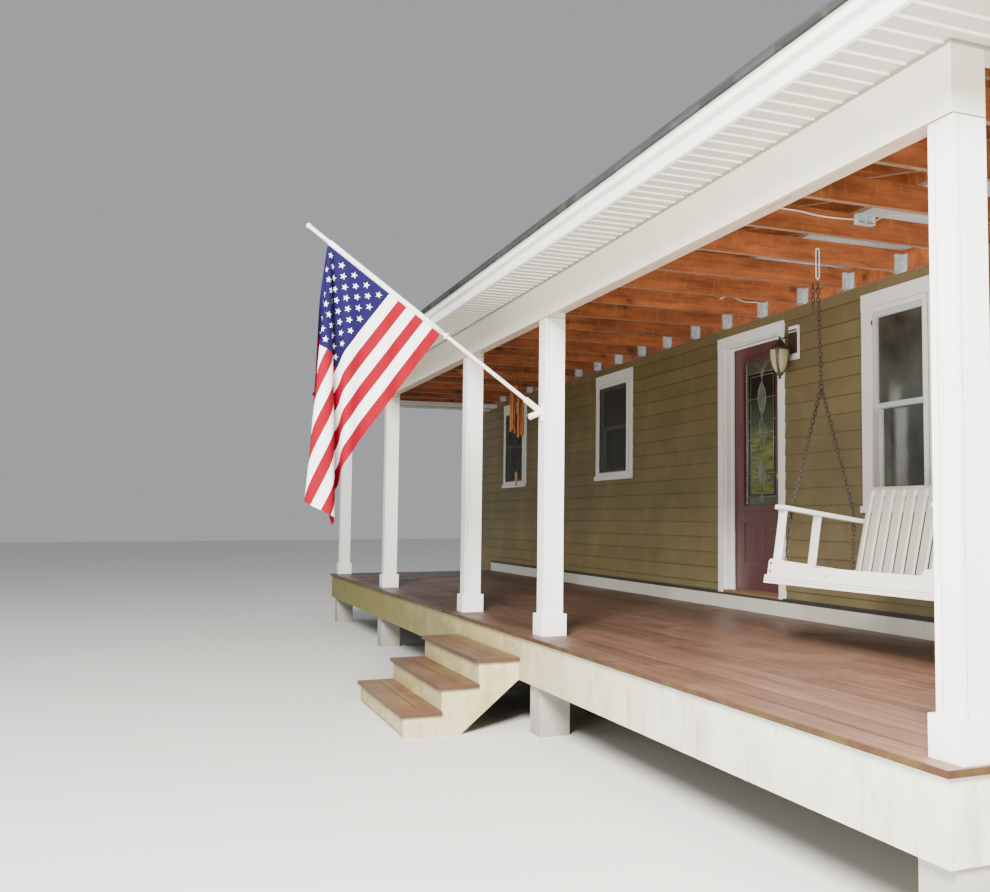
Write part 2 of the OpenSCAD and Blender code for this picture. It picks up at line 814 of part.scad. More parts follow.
// Wind chime under a joist: disc, tubes on cords, striker and sail
chime_joist = 13;
chime_y = wall_face - 1150;
chime_drop = 300;
chime_d = 150;
tube_d = 25;
tube_l = 460;
cord_d = 3;
tube_n = 6;
sail_w = 64;
sail_h = 136;
module wind_chime() color("peru") translate([joist_x[chime_joist], chime_y, ceiling_z]) {
    translate([0, 0, -chime_drop]) {
        cylinder(h = chime_drop, d = cord_d);
        translate([0, 0, -16]) cylinder(h = 16, d = chime_d);
        translate([0, 0, -2 * tube_l]) cylinder(h = 2 * tube_l, d = cord_d);
        translate([0, 0, -tube_l * 0.45]) cylinder(h = 14, d = chime_d * 0.45);
        for (a = [0:360 / tube_n:359])
            rotate([0, 0, a]) translate([chime_d / 2 - tube_d / 2 - 4, 0, 0]) {
                translate([0, 0, -60]) cylinder(h = 60, d = cord_d);
                translate([0, 0, -50 - tube_l + a / 4]) cylinder(h = tube_l - a / 4, d = tube_d);
            }
        translate([-sail_w / 2, -cord_d, -2 * tube_l - sail_h / 2]) cube([sail_w, 2 * cord_d, sail_h]);
    }
}

// Porch swing, hung from the outer sides of two joists
hook_x = [joist_x[5] + joist_t / 2 + 12, joist_x[2] - joist_t / 2 - 12];
swing_mid = (hook_x[0] + hook_x[1]) / 2;
hook_y = wall_face - hook_d;
hook_z = deck_h + hook_h;
seat_z = deck_h + seat_h;
seat_front = hook_y - 412;
seat_back = seat_front + seat_d;
seat_half = swing_w / 2;
slat_t = 20;
leg_t = 30;
frame_h = 90;
step_t = 12;
ear_h = 32;
ear_w = 130;
ear_slope = 30;
ear_corner = 14;
apron_mid = seat_z - 63;
apron_low = seat_z - 112;
board_face = seat_front + step_t;
slats_y = board_face + slat_t;
rail_back = seat_back + 132;
rail_z = seat_z + ear_h;
seat_l = seat_back - board_face;
back_gap = 11;

// The bench is built square and tipped back about the top edge of its front board
module tipped() {
    translate([0, board_face, rail_z]) rotate([-seat_tilt, 0, 0])
        translate([0, -board_face, -rail_z]) children();
}

// A place given by its distances behind and above that edge
function tipped_at(x, back, up) = [x, board_face + back * cos(seat_tilt) + up * sin(seat_tilt),
    rail_z - back * sin(seat_tilt) + up * cos(seat_tilt)];

loop_l = 190;
loop_w = 30;
wire_d = 6;
hook_rise = 20;
joint_d = chain_d + 6;
joint_gap = 0.3;
// A long loop on a bolt in the joist's side, and a short rod down to the chain
module swing_hooks() color("silver") {
    stem = hook_rise - joint_d / 2 - joint_gap;
    for (x = hook_x) translate([x, hook_y, hook_z + hook_rise]) {
        translate([-12, 0, loop_l]) rotate([0, 90, 0]) cylinder(h = 24, d = 10);
        rotate([90, 0, 90]) linear_extrude(wire_d, center = true) difference() {
            loop_outline(0);
            loop_outline(wire_d);
        }
        translate([0, 0, -stem]) cylinder(h = stem + wire_d / 2, d = wire_d);
    }
}

module loop_outline(inset) {
    r = loop_w / 2;
    for (z = [r, loop_l - r + 6]) translate([0, z]) circle(r - inset);
    translate([-r + inset, r]) square([2 * (r - inset), loop_l - 2 * r + 6]);
}

// Half outline of the upper front board, raised at its end
module ear_outline(s) scale([s, 1])
    polygon([[0, apron_mid], [seat_half, apron_mid], [seat_half, rail_z - ear_corner],
        [seat_half - ear_corner, rail_z], [seat_half - ear_w, rail_z],
        [seat_half - ear_w - ear_slope, seat_z], [0, seat_z]]);

// Front boards, end rails, slats along the seat and bearers under them
module swing_seat() color("white") tipped() {
    slat_n = 6;
    slats_back = seat_back - back_gap;
    gap = 8;
    pitch = (slats_back - slats_y + gap) / slat_n;
    in = seat_half - leg_t;
    difference() {
        translate([swing_mid, slats_y, 0]) rotate([90, 0, 0]) linear_extrude(slat_t) {
            ear_outline(-1);
            ear_outline(1);
        }
        swing_posts();
    }
    translate([swing_mid, 0, 0]) {
        block(-seat_half - step_t, seat_half + step_t, seat_front, slats_y, apron_low, apron_mid);
        at_ends(seat_half - leg_t / 2)
            block(-leg_t / 2, leg_t / 2, slats_y, rail_back, seat_z - frame_h, rail_z);
        for (i = [0:slat_n - 1])
            block(-in, in, slats_y + i * pitch, slats_y + (i + 1) * pitch - gap, seat_z - slat_t, seat_z);
        for (x = [-in * 0.6, 0, in * 0.6])
            block(x - leg_t / 2, x + leg_t / 2, slats_y, slats_back - leg_t, seat_z - frame_h,
                seat_z - slat_t);
    }
}

// Upright slats that lean back, on a rail between the end rails and one across their tops
module swing_back() color("white") tipped() {
    in = seat_half - leg_t;
    half = in - 123;
    edge = half - 40;
    slat_n = 13;
    gap = 38;
    pitch = (2 * half + gap) / slat_n;
    back_t = 20;
    lean = back_lean / back_rise;
    top = seat_z + back_rise;
    low = seat_z - frame_h + 10;
    rail_h = 60;
    over = 20;
    rail_end = 15;
    translate([swing_mid, seat_back, 0])
        multmatrix([[1, 0, 0, 0], [0, 1, lean, -lean * seat_z], [0, 0, 1, 0]]) {
            for (i = [0:slat_n - 1])
                block(max(-half + i * pitch, -edge), min(-half + (i + 1) * pitch - gap, edge), 0,
                    back_t, low, top);
            block(-half - rail_end, half + rail_end, back_t, back_t + slat_t, top + over - rail_h,
                top + over);
            block(-in, in, back_t, back_t + slat_t, low, low + rail_h);
        }
}

arm_h = 351;
arm_w = 80;
arm_t = 25;
arm_z = seat_z + arm_h;

upright_w = 62;
upright_t = 21;
// Uprights on the seat, from their foot's front edge
module swing_posts() {
    at_ends(seat_half - leg_t - upright_w / 2, swing_mid)
        for (y = [board_face + 11, board_face + 250])
            block(-upright_w / 2, upright_w / 2, y, y + upright_t, seat_z, arm_z - arm_t / 2);
}

// Flat arms, each on two uprights
module swing_arms() color("white") tipped() {
    swing_posts();
    at_ends(seat_half - leg_t - arm_w / 2 - 2, swing_mid)
        block(-arm_w / 2, arm_w / 2, board_face - 22, seat_back + 92, arm_z - arm_t, arm_z);
}

eye_h = 24;
fork_in = 46;
fork_back = 10;
// Each leg of a chain: its bend beside the arm and its foot on the rail, from the tipping edge
chain_legs = [[109, arm_h - ear_h + 26, 108], [seat_l + 61, arm_h - ear_h + 41, seat_l + 102]];
// Chain round a joint, which is a short pin along X
module pin_at(p) {
    translate(p) rotate([0, 90, 0]) cylinder(h = joint_d, d = joint_d, center = true);
}

module swing_chains() color("dimgray") for (i = [0, 1]) {
    s = i == 0 ? 1 : -1;
    hook = [hook_x[i], hook_y, hook_z];
    fork = [hook_x[i] + s * fork_in, hook_y - fork_back, deck_h + fork_h];
    x = swing_mid - s * (seat_half - leg_t / 2);
    round_bar(fork, hook, chain_d);
    pin_at(hook);
    pin_at(fork);
    for (leg = chain_legs) {
        bend = tipped_at(x, leg[0], leg[1]);
        round_bar(fork, bend, chain_d - 2);
        pin_at(bend);
        round_bar(bend, tipped_at(x, leg[2], eye_h), chain_d - 2);
        tipped() translate([x, board_face + leg[2], rail_z])
            block(-chain_d / 2, chain_d / 2, -chain_d / 2, chain_d / 2, 0, eye_h + 6);
    }
}

foundation();
wall_far();
wall_near();
wall_over_door();
lap_siding();
corner_boards();
base_board();
door_frame();
threshold();
front_door();
door_glass();
door_knob();
window_1();
window_2();
window_3();
window_glass();
piers();
deck_frame();
deck_floor();
skirt_boards();
step_sides();
step_risers();
tread_1();
tread_2();
tread_3();
post_1();
post_2();
post_3();
post_4();
post_5();
front_beam();
end_beams();
ledger();
ceiling_joists();
joist_hangers();
rafters();
roof_sheathing();
shingles();
soffit();
fascia();
lantern_block();
wall_lantern();
lantern_glass();
flag_bracket();
flag_pole();
flag();
wind_chime();
swing_hooks();
swing_seat();
swing_back();
swing_arms();
swing_chains();
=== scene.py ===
"""Looks of the front porch: finishes, small fittings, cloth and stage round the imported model.

Lengths are metres in the part's frame: X along the wall, -Y to the front, Z up from the ground.
It is laid out as an add-on. Run as a script, it registers itself and builds every piece once.
"""

import json
from math import cos, pi, radians, sin, tau

import bpy
import numpy as np
from bpy.props import FloatProperty, FloatVectorProperty, IntProperty, PointerProperty
from mathutils import Matrix, Vector


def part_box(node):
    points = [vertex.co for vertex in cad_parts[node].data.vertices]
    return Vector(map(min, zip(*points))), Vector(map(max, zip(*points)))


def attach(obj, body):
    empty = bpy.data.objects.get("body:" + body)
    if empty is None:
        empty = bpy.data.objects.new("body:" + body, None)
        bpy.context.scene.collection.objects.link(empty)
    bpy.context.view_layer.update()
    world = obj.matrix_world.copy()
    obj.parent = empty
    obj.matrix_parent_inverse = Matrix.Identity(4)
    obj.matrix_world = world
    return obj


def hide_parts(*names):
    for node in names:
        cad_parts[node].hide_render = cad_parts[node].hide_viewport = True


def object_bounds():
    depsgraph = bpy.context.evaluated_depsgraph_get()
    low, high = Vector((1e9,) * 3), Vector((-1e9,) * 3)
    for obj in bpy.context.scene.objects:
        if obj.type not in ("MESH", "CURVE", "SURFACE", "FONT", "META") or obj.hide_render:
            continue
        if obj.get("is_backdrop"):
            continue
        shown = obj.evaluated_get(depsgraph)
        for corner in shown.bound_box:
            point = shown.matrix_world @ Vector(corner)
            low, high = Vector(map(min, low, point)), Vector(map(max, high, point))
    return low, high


bl_info = {
    "name": "Front porch looks",
    "version": (1, 0, 0),
    "blender": (4, 5, 0),
    "location": "3D View > Sidebar > Porch",
    "description": "Finishes, fittings, flag, swing chains and stage of the front porch",
    "category": "Object",
}

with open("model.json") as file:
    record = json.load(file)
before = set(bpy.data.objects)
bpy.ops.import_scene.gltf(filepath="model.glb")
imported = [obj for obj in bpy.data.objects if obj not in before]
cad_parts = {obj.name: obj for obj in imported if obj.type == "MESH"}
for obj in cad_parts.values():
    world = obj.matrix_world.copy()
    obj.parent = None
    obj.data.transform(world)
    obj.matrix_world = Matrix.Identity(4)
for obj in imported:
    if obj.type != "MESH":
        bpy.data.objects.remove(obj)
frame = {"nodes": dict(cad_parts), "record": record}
NODES = frame["nodes"]
EFFECTS = {}  # shader groups that finishes share
KIT = {}  # finished materials

SIDE = Vector((1, 0, 0))
UP = Vector((0, 0, 1))
WINDOWS = ("window_1", "window_2", "window_3")
FIRST_JOIST = 6.378
JOIST_PITCH = 0.6096


# ---------------------------------------------------------------- properties
def colour(name, description, default):
    return FloatVectorProperty(
        name=name, description=description, default=default, subtype="COLOR", min=0, max=1
    )


def length(name, description, default):
    return FloatProperty(name=name, description=description, default=default, unit="LENGTH")


class PorchPaint(bpy.types.PropertyGroup):
    """Colours of the finishes, as linear light."""

    siding: colour("Siding", "Paint of the lap siding", (0.118, 0.088, 0.038))
    trim: colour("Trim", "White paint of posts, beam and casings", (0.79, 0.80, 0.78))
    skirt: colour("Skirt", "Cream paint of skirt and steps", (0.74, 0.73, 0.63))
    door: colour("Door", "Maroon paint of the door", (0.075, 0.021, 0.022))
    stain: colour("Stain", "Orange stain of joists and ledgers", (0.57, 0.175, 0.050))
    deck: colour("Deck", "Light streaks of the composite boards", (0.235, 0.128, 0.086))
    deck_dark: colour("Deck, dark", "Dark streaks of the composite boards", (0.085, 0.038, 0.026))
    wear: FloatProperty(
        name="Wear", description="How much dirt and staining shows", default=1.0, min=0, max=2
    )


class PorchFlag(bpy.types.PropertyGroup):
    """Cut of the flag and how it hangs."""

    hoist: length("Hoist", "Height of the flag", 0.86)
    fly: length("Fly", "Length of the flag", 1.45)
    cell: length("Cell", "Spacing of the mesh", 0.022)
    frames: IntProperty(
        name="Frames", description="Frames until the cloth hangs still", default=130
    )


class PorchChain(bpy.types.PropertyGroup):
    """Size of the swing's chain."""

    wire: length("Wire", "Thickness of the wire", 0.0072)
    pitch: length("Pitch", "Length inside a link", 0.029)
    width: length("Width", "Width over a link", 0.026)


class PorchStage(bpy.types.PropertyGroup):
    """Light and floor."""

    sky: FloatProperty(name="Sky", description="Strength of the even light", default=0.42)
    key: FloatProperty(name="Key", description="Power of the key light", default=8500)
    fill: FloatProperty(name="Fill", description="Power of the fill light", default=300)
    bounce: FloatProperty(
        name="Bounce", description="Power of the light from the ground", default=560
    )


# ---------------------------------------------------------------- mesh tools
def circle(steps):
    """Angles once round, without the last, which is the first again."""
    return np.linspace(0, tau, steps, endpoint=False)


class Shape:
    """Collects the vertices and faces of one piece."""

    def __init__(self):
        self.verts = []
        self.faces = []

    def add(self, verts, faces):
        base = len(self.verts)
        self.verts += [tuple(v) for v in verts]
        self.faces += [tuple(i + base for i in f) for f in faces]

    def prism(self, outline, place, start, end):
        """Extrudes a counter-clockwise outline; place(a, b, t) gives each point."""
        n = len(outline)
        verts = [place(a, b, t) for t in (start, end) for a, b in outline]
        faces = [(i, (i + 1) % n, n + (i + 1) % n, n + i) for i in range(n)]
        self.add(verts, faces + [tuple(range(n))[::-1], tuple(range(n, 2 * n))])

    def box(self, low, high):
        (x0, y0, z0), (x1, y1, z1) = low, high
        outline = [(x0, y0), (x1, y0), (x1, y1), (x0, y1)]
        self.prism(outline, lambda a, b, t: (a, b, t), z0, z1)

    def tube(self, points, radius, sides=8, closed=False):
        """A round bar along points, with its ends closed or its path a ring."""
        points = [Vector(p) for p in points]
        n = len(points)
        side = None
        rings = []
        for i, p in enumerate(points):
            back = points[i - 1] if i or closed else p
            ahead = points[(i + 1) % n] if i < n - 1 or closed else p
            along = (ahead - back).normalized()
            if side is None:
                side = along.orthogonal()
            side = (side - along * side.dot(along)).normalized()
            other = along.cross(side)
            rings += [p + radius * (cos(a) * side + sin(a) * other) for a in circle(sides)]
        faces = []
        for i in range(n if closed else n - 1):
            j = (i + 1) % n
            for k in range(sides):
                m = (k + 1) % sides
                faces.append((i * sides + k, i * sides + m, j * sides + m, j * sides + k))
        if not closed:
            faces.append(tuple(range(sides))[::-1])
            faces.append(tuple(range((n - 1) * sides, n * sides)))
        self.add(rings, faces)

    def lathe(self, line, centre, steps, along):
        """Turns a line of (radius, height) round an axis through centre."""
        turn = UP.rotation_difference(along).to_matrix()
        verts = [
            Vector(centre) + turn @ Vector((r * cos(a), r * sin(a), h))
            for r, h in line for a in circle(steps)
        ]
        faces = [
            (i * steps + k, i * steps + (k + 1) % steps, (i + 1) * steps + (k + 1) % steps,
             (i + 1) * steps + k)
            for i in range(len(line) - 1) for k in range(steps)
        ]
        last = (len(line) - 1) * steps
        faces += [tuple(range(steps))[::-1], tuple(range(last, last + steps))]
        self.add(verts, faces)

    def make(self, name, material, body, slot, smooth=False, bevel=0.0):
        piece = new_piece(name, self.verts, self.faces, KIT[material])
        if smooth:
            shade_smooth(piece)
        if bevel:
            cut = piece.modifiers.new("Edges", "BEVEL")
            cut.width = bevel
            cut.segments = 2
            apply_modifiers(piece)
        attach(piece, body)
        return piece


def new_piece(name, verts, faces, material):
    mesh = bpy.data.meshes.new(name)
    mesh.from_pydata(verts, [], faces)
    mesh.validate()
    mesh.materials.append(material)
    piece = bpy.data.objects.new(name, mesh)
    bpy.context.scene.collection.objects.link(piece)
    return piece


def shade_smooth(piece):
    piece.data.polygons.foreach_set("use_smooth", [True] * len(piece.data.polygons))


def apply_modifiers(piece):
    """Writes what the modifiers make into the mesh and takes them off."""
    bpy.context.view_layer.update()
    graph = bpy.context.evaluated_depsgraph_get()
    result = bpy.data.meshes.new_from_object(piece.evaluated_get(graph))
    old = piece.data
    piece.modifiers.clear()
    piece.data = result
    name = old.name
    bpy.data.meshes.remove(old)
    result.name = name


# ---------------------------------------------------------------- shader tools
class Graph:
    """Short forms for adding nodes to a material or a node group."""

    def __init__(self, tree):
        self.tree = tree

    def put(self, socket, value):
        if isinstance(value, bpy.types.NodeSocket):
            self.tree.links.new(value, socket)
        elif value is not None:
            if socket.type == "RGBA" and len(value) == 3:
                value = (*value, 1)
            socket.default_value = value

    def add(self, kind, inputs=(), **settings):
        node = self.tree.nodes.new("ShaderNode" + kind)
        for name, value in settings.items():
            setattr(node, name, value)
        for name, value in dict(inputs).items():
            self.put(node.inputs[name], value)
        return node

    def math(self, operation, *values):
        node = self.add("Math", operation=operation)
        for socket, value in zip(node.inputs, values):
            self.put(socket, value)
        return node.outputs[0]

    def plus(self, a, b):
        return self.math("ADD", a, b)

    def minus(self, a, b):
        return self.math("SUBTRACT", a, b)

    def times(self, a, b):
        return self.math("MULTIPLY", a, b)

    def absolute(self, a):
        return self.math("ABSOLUTE", a)

    def above(self, a, b):
        return self.math("GREATER_THAN", a, b)

    def below(self, a, b):
        return self.math("LESS_THAN", a, b)

    def vector(self, operation, a, b, output="Vector"):
        node = self.add("VectorMath", operation=operation)
        self.put(node.inputs[0], a)
        self.put(node.inputs[1], b)
        return node.outputs[output]

    def mix(self, factor, a, b, blend="MIX"):
        node = self.add("Mix", data_type="RGBA", blend_type=blend)
        for number, value in ((0, factor), (6, a), (7, b)):
            self.put(node.inputs[number], value)
        return node.outputs[2]

    def remap(self, value, low, high, to_low=0.0, to_high=1.0):
        return self.add("MapRange", {
            "Value": value, "From Min": low, "From Max": high, "To Min": to_low,
            "To Max": to_high}).outputs[0]

    def place(self, stretch=None):
        """Each point's place, or that times a number along each axis."""
        place = self.add("TexCoord").outputs["Object"]
        return place if stretch is None else self.vector("MULTIPLY", place, stretch)

    def along(self, axis):
        """Each point's place along one axis."""
        return self.split(self.place())[axis]

    def facing(self, axis):
        """The part of the surface's direction along one axis."""
        return self.split(self.add("NewGeometry").outputs["Normal"])[axis]

    def split(self, value):
        return self.add("SeparateXYZ", {"Vector": value}).outputs

    def noise(self, scale, detail=4.0, roughness=0.55, distortion=0.0, stretch=None, where=None):
        return self.add("TexNoise", {
            "Vector": self.place(stretch) if where is None else where, "Scale": scale,
            "Detail": detail, "Roughness": roughness, "Distortion": distortion}).outputs["Fac"]

    def spots(self, scale, stretch=None):
        """Cells, each with its colour and the distance from its middle."""
        return self.add("TexVoronoi", {"Vector": self.place(stretch), "Scale": scale}).outputs

    def random(self, number):
        """A random value for each whole number."""
        return self.add("TexWhiteNoise", {"W": number}, noise_dimensions="1D").outputs["Value"]


class Effect(Graph):
    """A node group with typed sockets: a number, a colour (tuple) or a vector (list)."""

    kinds = {float: "NodeSocketFloat", tuple: "NodeSocketColor", list: "NodeSocketVector"}

    def __init__(self, name, inputs, outputs):
        super().__init__(bpy.data.node_groups.new(name.capitalize(), "ShaderNodeTree"))
        new = self.tree.interface.new_socket
        for label, default in inputs.items():
            socket = new(label, in_out="INPUT", socket_type=self.kinds[type(default)])
            socket.default_value = (*default, 1) if type(default) is tuple else default
        for label, kind in outputs.items():
            new(label, in_out="OUTPUT", socket_type=self.kinds[kind])
        self.given = self.tree.nodes.new("NodeGroupInput").outputs
        self.result = self.tree.nodes.new("NodeGroupOutput").inputs
        EFFECTS[name] = self.tree

    def give(self, **results):
        for label, value in results.items():
            self.put(self.result[label], value)


def make_effects():
    """The effects that several finishes share."""
    # Fine fibres along one direction: a large number in Stretch is across the fibres
    fibres = {"Stretch": [3.0, 60.0, 60.0], "Light": (0.5, 0.5, 0.5), "Dark": (0.1, 0.1, 0.1)}
    g = Effect("grain", fibres, {"Color": tuple, "Height": float})
    where = g.place(g.given["Stretch"])
    broad = g.noise(0.35, 5, 0.6, 0.7, where=where)
    fine = g.noise(2.6, 6, 0.7, 0.2, where=where)
    height = g.plus(g.times(broad, 0.6), g.times(fine, 0.4))
    tone = g.mix(g.remap(height, 0.34, 0.66), g.given["Dark"], g.given["Light"])
    g.give(Color=tone, Height=height)

    # One random number for each board, and a mask of the gaps between boards
    g = Effect("boards", {"Across": [0.0, 1.0, 0.0], "Start": 0.0, "Pitch": 0.143},
               {"Random": float, "Edge": float, "Number": float})
    across = g.vector("DOT_PRODUCT", g.place(), g.given["Across"], "Value")
    count = g.math("DIVIDE", g.minus(across, g.given["Start"]), g.given["Pitch"])
    number = g.math("FLOOR", count)
    edge = g.times(g.absolute(g.minus(g.minus(count, number), 0.5)), 2.0)
    g.give(Random=g.random(number), Edge=edge, Number=number)

    # Masks of dirt: soft patches, runs down a face, and specks
    g = Effect("weather", {"Amount": 1.0}, {"Patch": float, "Run": float, "Speck": float})
    masks = {
        "Patch": g.remap(g.noise(1.7, 7, 0.62, 0.4), 0.46, 0.72),
        "Run": g.remap(g.noise(1.0, 5, 0.6, stretch=[22.0, 22.0, 1.1]), 0.5, 0.78),
        "Speck": g.remap(g.noise(95.0, 2, 0.5), 0.66, 0.74),
    }
    g.give(**{label: g.times(mask, g.given["Amount"]) for label, mask in masks.items()})

    # Rounded edge normal, and a mask of where the edge is
    g = Effect("edges", {"Radius": 0.003}, {"Normal": list, "Mask": float})
    bevel = g.add("Bevel", {"Radius": g.given["Radius"]}, samples=4).outputs[0]
    flat = g.add("NewGeometry").outputs["Normal"]
    turn = g.vector("DOT_PRODUCT", bevel, flat, "Value")
    g.give(Normal=bevel, Mask=g.remap(turn, 0.995, 0.9))

    # A mask that grows towards the ground or the eave, which splashes and moss follow
    g = Effect("low", {"From": 0.0, "To": 0.5}, {"Mask": float})
    wavy = g.plus(g.along("Z"), g.remap(g.noise(4.0, 5, 0.65), 0, 1, -0.12, 0.12))
    g.give(Mask=g.remap(wavy, g.given["To"], g.given["From"]))

    flag_pattern()


def flag_pattern():
    """Stars and stripes over the cloth's own width and height."""
    dyes = {"Red": (0.20, 0.0, 0.010), "White": (0.80, 0.81, 0.83), "Blue": (0.009, 0.006, 0.048)}
    g = Effect("flag", dyes, {"Color": tuple})
    uv = g.split(g.add("UVMap", uv_map="cloth").outputs[0])
    u, v = uv["X"], uv["Y"]
    odd = g.math("MODULO", g.math("FLOOR", g.times(v, 13.0)), 2.0)
    stripes = g.mix(odd, g.given["Red"], g.given["White"])
    # The canton covers the seven upper stripes and two fifths of the fly
    cu = g.math("DIVIDE", u, 0.4)
    cv = g.math("DIVIDE", g.minus(v, 6 / 13), 7 / 13)
    inside = g.times(g.below(cu, 1.0), g.above(cv, 0.0))
    col, row = g.times(cu, 12.0), g.times(cv, 10.0)
    ncol, nrow = g.math("ROUND", col), g.math("ROUND", row)
    even = g.below(g.math("MODULO", g.plus(ncol, nrow), 2.0), 0.5)
    room = g.times(g.above(ncol, 0.5), g.below(ncol, 11.5))
    tall = g.times(g.above(nrow, 0.5), g.below(nrow, 9.5))
    # A star's places are measured in the cloth's height
    x = g.times(g.minus(col, ncol), 0.66 / 12)
    y = g.times(g.minus(row, nrow), 0.538 / 10)
    size = g.math("SQRT", g.plus(g.times(x, x), g.times(y, y)))
    angle = g.math("ARCTAN2", x, y)
    fold = g.absolute(g.math("WRAP", angle, radians(36), -radians(36)))
    star = g.below(star_edge(g, size, fold), 0.0)
    for mask in (even, room, tall):
        star = g.times(star, mask)
    canton = g.mix(star, g.given["Blue"], g.given["White"])
    g.give(Color=g.mix(inside, stripes, canton))


def star_edge(g, size, fold, radius=0.025):
    """Negative inside a five-pointed star; fold is the angle from its nearest tip."""
    inner = radius * 0.382
    dip_x, dip_y = inner * cos(radians(36)), inner * sin(radians(36))
    nx, ny = dip_y, radius - dip_x
    x = g.times(size, g.math("COSINE", fold))
    y = g.times(size, g.math("SINE", fold))
    return g.minus(g.plus(g.times(x, nx), g.times(y, ny)), nx * radius)


class Finish(Graph):
    """A material with its Principled node, and what its sockets get."""

    def __init__(self, name, colour=None, roughness=0.5, **inputs):
        self.name = name
        self.material = bpy.data.materials.new(name)
        self.material.use_nodes = True
        super().__init__(self.material.node_tree)
        self.shader = self.tree.nodes["Principled BSDF"]
        self.colour = colour
        self.roughness = roughness
        self.normal = None
        for label, value in inputs.items():
            self.put(self.shader.inputs[label.replace("_", " ")], value)

    def use(self, effect, **inputs):
        return self.add("Group", inputs, node_tree=EFFECTS[effect]).outputs

    def tint(self, mask, colour, amount):
        self.colour = self.mix(self.times(mask, amount), self.colour, colour)

    def fade(self, axis, start, end, colour, amount):
        """Tints more and more from one place along an axis to another."""
        self.tint(self.remap(self.along(axis), start, end), colour, amount)

    def vary(self, value, low, high):
        """Makes the colour lighter or darker with a value from 0 to 1."""
        level = self.remap(value, 0, 1, low, high)
        grey = self.add("CombineColor", dict.fromkeys(("Red", "Green", "Blue"), level)).outputs[0]
        self.colour = self.mix(1.0, self.colour, grey, "MULTIPLY")

    def rounded(self, radius):
        edges = self.use("edges", Radius=radius)
        self.normal = edges["Normal"]
        return edges["Mask"]

    def relief(self, height, depth, strength):
        self.normal = self.add("Bump", {
            "Height": height, "Distance": depth, "Strength": strength,
            "Normal": self.normal}).outputs[0]

    def done(self):
        for label, value in (("Base Color", self.colour), ("Roughness", self.roughness),
                             ("Normal", self.normal)):
            self.put(self.shader.inputs[label], value)
        KIT[self.name] = self.material
        return self.material


# ---------------------------------------------------------------- finishes
# Boards of the deck and the joists: direction across them, first edge and pitch
DECK_BOARDS = ([0.0, 1.0, 0.0], -2.293, 0.143)
JOISTS = ([1.0, 0.0, 0.0], FIRST_JOIST - JOIST_PITCH / 2, JOIST_PITCH)
# Streaks along a board of the deck
DECK_STREAKS = [2.2, 75.0, 75.0]
DIRT = (0.52, 0.50, 0.40)
SWING_DIRT = (0.50, 0.46, 0.35)
# Under faces and upright faces, as the part of their direction along Z
UNDER = (-0.6, -0.9)
UPRIGHT = (0.6, 0.3)
# Places where a finish changes: in Y at the windows' recess, in Z at the foot of the base board's
# drip cap, and in Y at the skirt, which the steps stand in front of
RECESS = (-0.0765, -0.0755)
DRIP_CAP = 0.740
SKIRT = (-2.34, -2.37)
# The door's glass: its middle, and half width, foot and head of the two frames of lead
GLASS_MIDDLE = 1.188
DARK_BAND = (0.236, 1.562, 2.592)
FIELD = (0.190, 1.586, 2.565)

# Colour, roughness, scale and detail of the noise, its range, and further sockets
PLAIN = {
    "channel": ((0.24, 0.215, 0.19), 0.6, 6.0, 4, 0.85, 1.1, {}),
    "bead_glass": ((0.50, 0.52, 0.45), 0.15, 70.0, 3, 0.5, 1.4, {"IOR": 1.5}),
    "screen_frame": ((0.10, 0.10, 0.098), 0.4, 80.0, 3, 0.9, 1.1, {"Metallic": 0.5}),
    "cable": ((0.74, 0.70, 0.58), 0.5, 20.0, 3, 0.85, 1.08, {}),
    "box_steel": ((0.60, 0.66, 0.74), 0.4, 60.0, 4, 0.85, 1.1, {"Metallic": 0.25}),
    "seam": ((0.06, 0.055, 0.045), 0.9, 60.0, 4, 0.4, 2.2, {}),
}
# Colour, roughness, metallic, colour of the worn patches, and scale of the grain
METALS = {
    "bronze": ((0.075, 0.05, 0.038), 0.42, 0.5, (0.12, 0.075, 0.045), 220.0),
    "brass": ((0.62, 0.43, 0.18), 0.3, 1.0, (0.25, 0.15, 0.06), 220.0),
    "copper": ((0.50, 0.19, 0.065), 0.34, 0.9, (0.24, 0.08, 0.03), 220.0),
    "white_metal": ((0.74, 0.73, 0.67), 0.42, 0.0, (0.52, 0.48, 0.38), 90.0),
    "chain_steel": ((0.055, 0.042, 0.033), 0.55, 0.35, (0.085, 0.045, 0.024), 400.0),
    "lead": ((0.24, 0.25, 0.22), 0.4, 0.4, (0.17, 0.18, 0.15), 500.0),
}


def paint(name, colour, dirt, amount, roughness=0.5, radius=0.003):
    """Brushed paint with soft dirt, runs and rounded edges."""
    f = Finish(name, colour, roughness)
    edge = f.rounded(radius)
    f.vary(f.noise(2.3, 4), 0.93, 1.05)
    weather = f.use("weather", Amount=amount)
    f.tint(weather["Patch"], dirt, 0.28)
    f.tint(weather["Run"], dirt, 0.30)
    f.tint(weather["Speck"], (0.16, 0.15, 0.12), 0.35)
    f.tint(edge, dirt, 0.35 * amount)
    f.relief(f.noise(1.0, 3, 0.6, stretch=[120.0, 120.0, 9.0]), 0.0006, 0.5)
    f.roughness = f.remap(weather["Patch"], 0, 1, roughness, min(roughness + 0.25, 0.95))
    return f


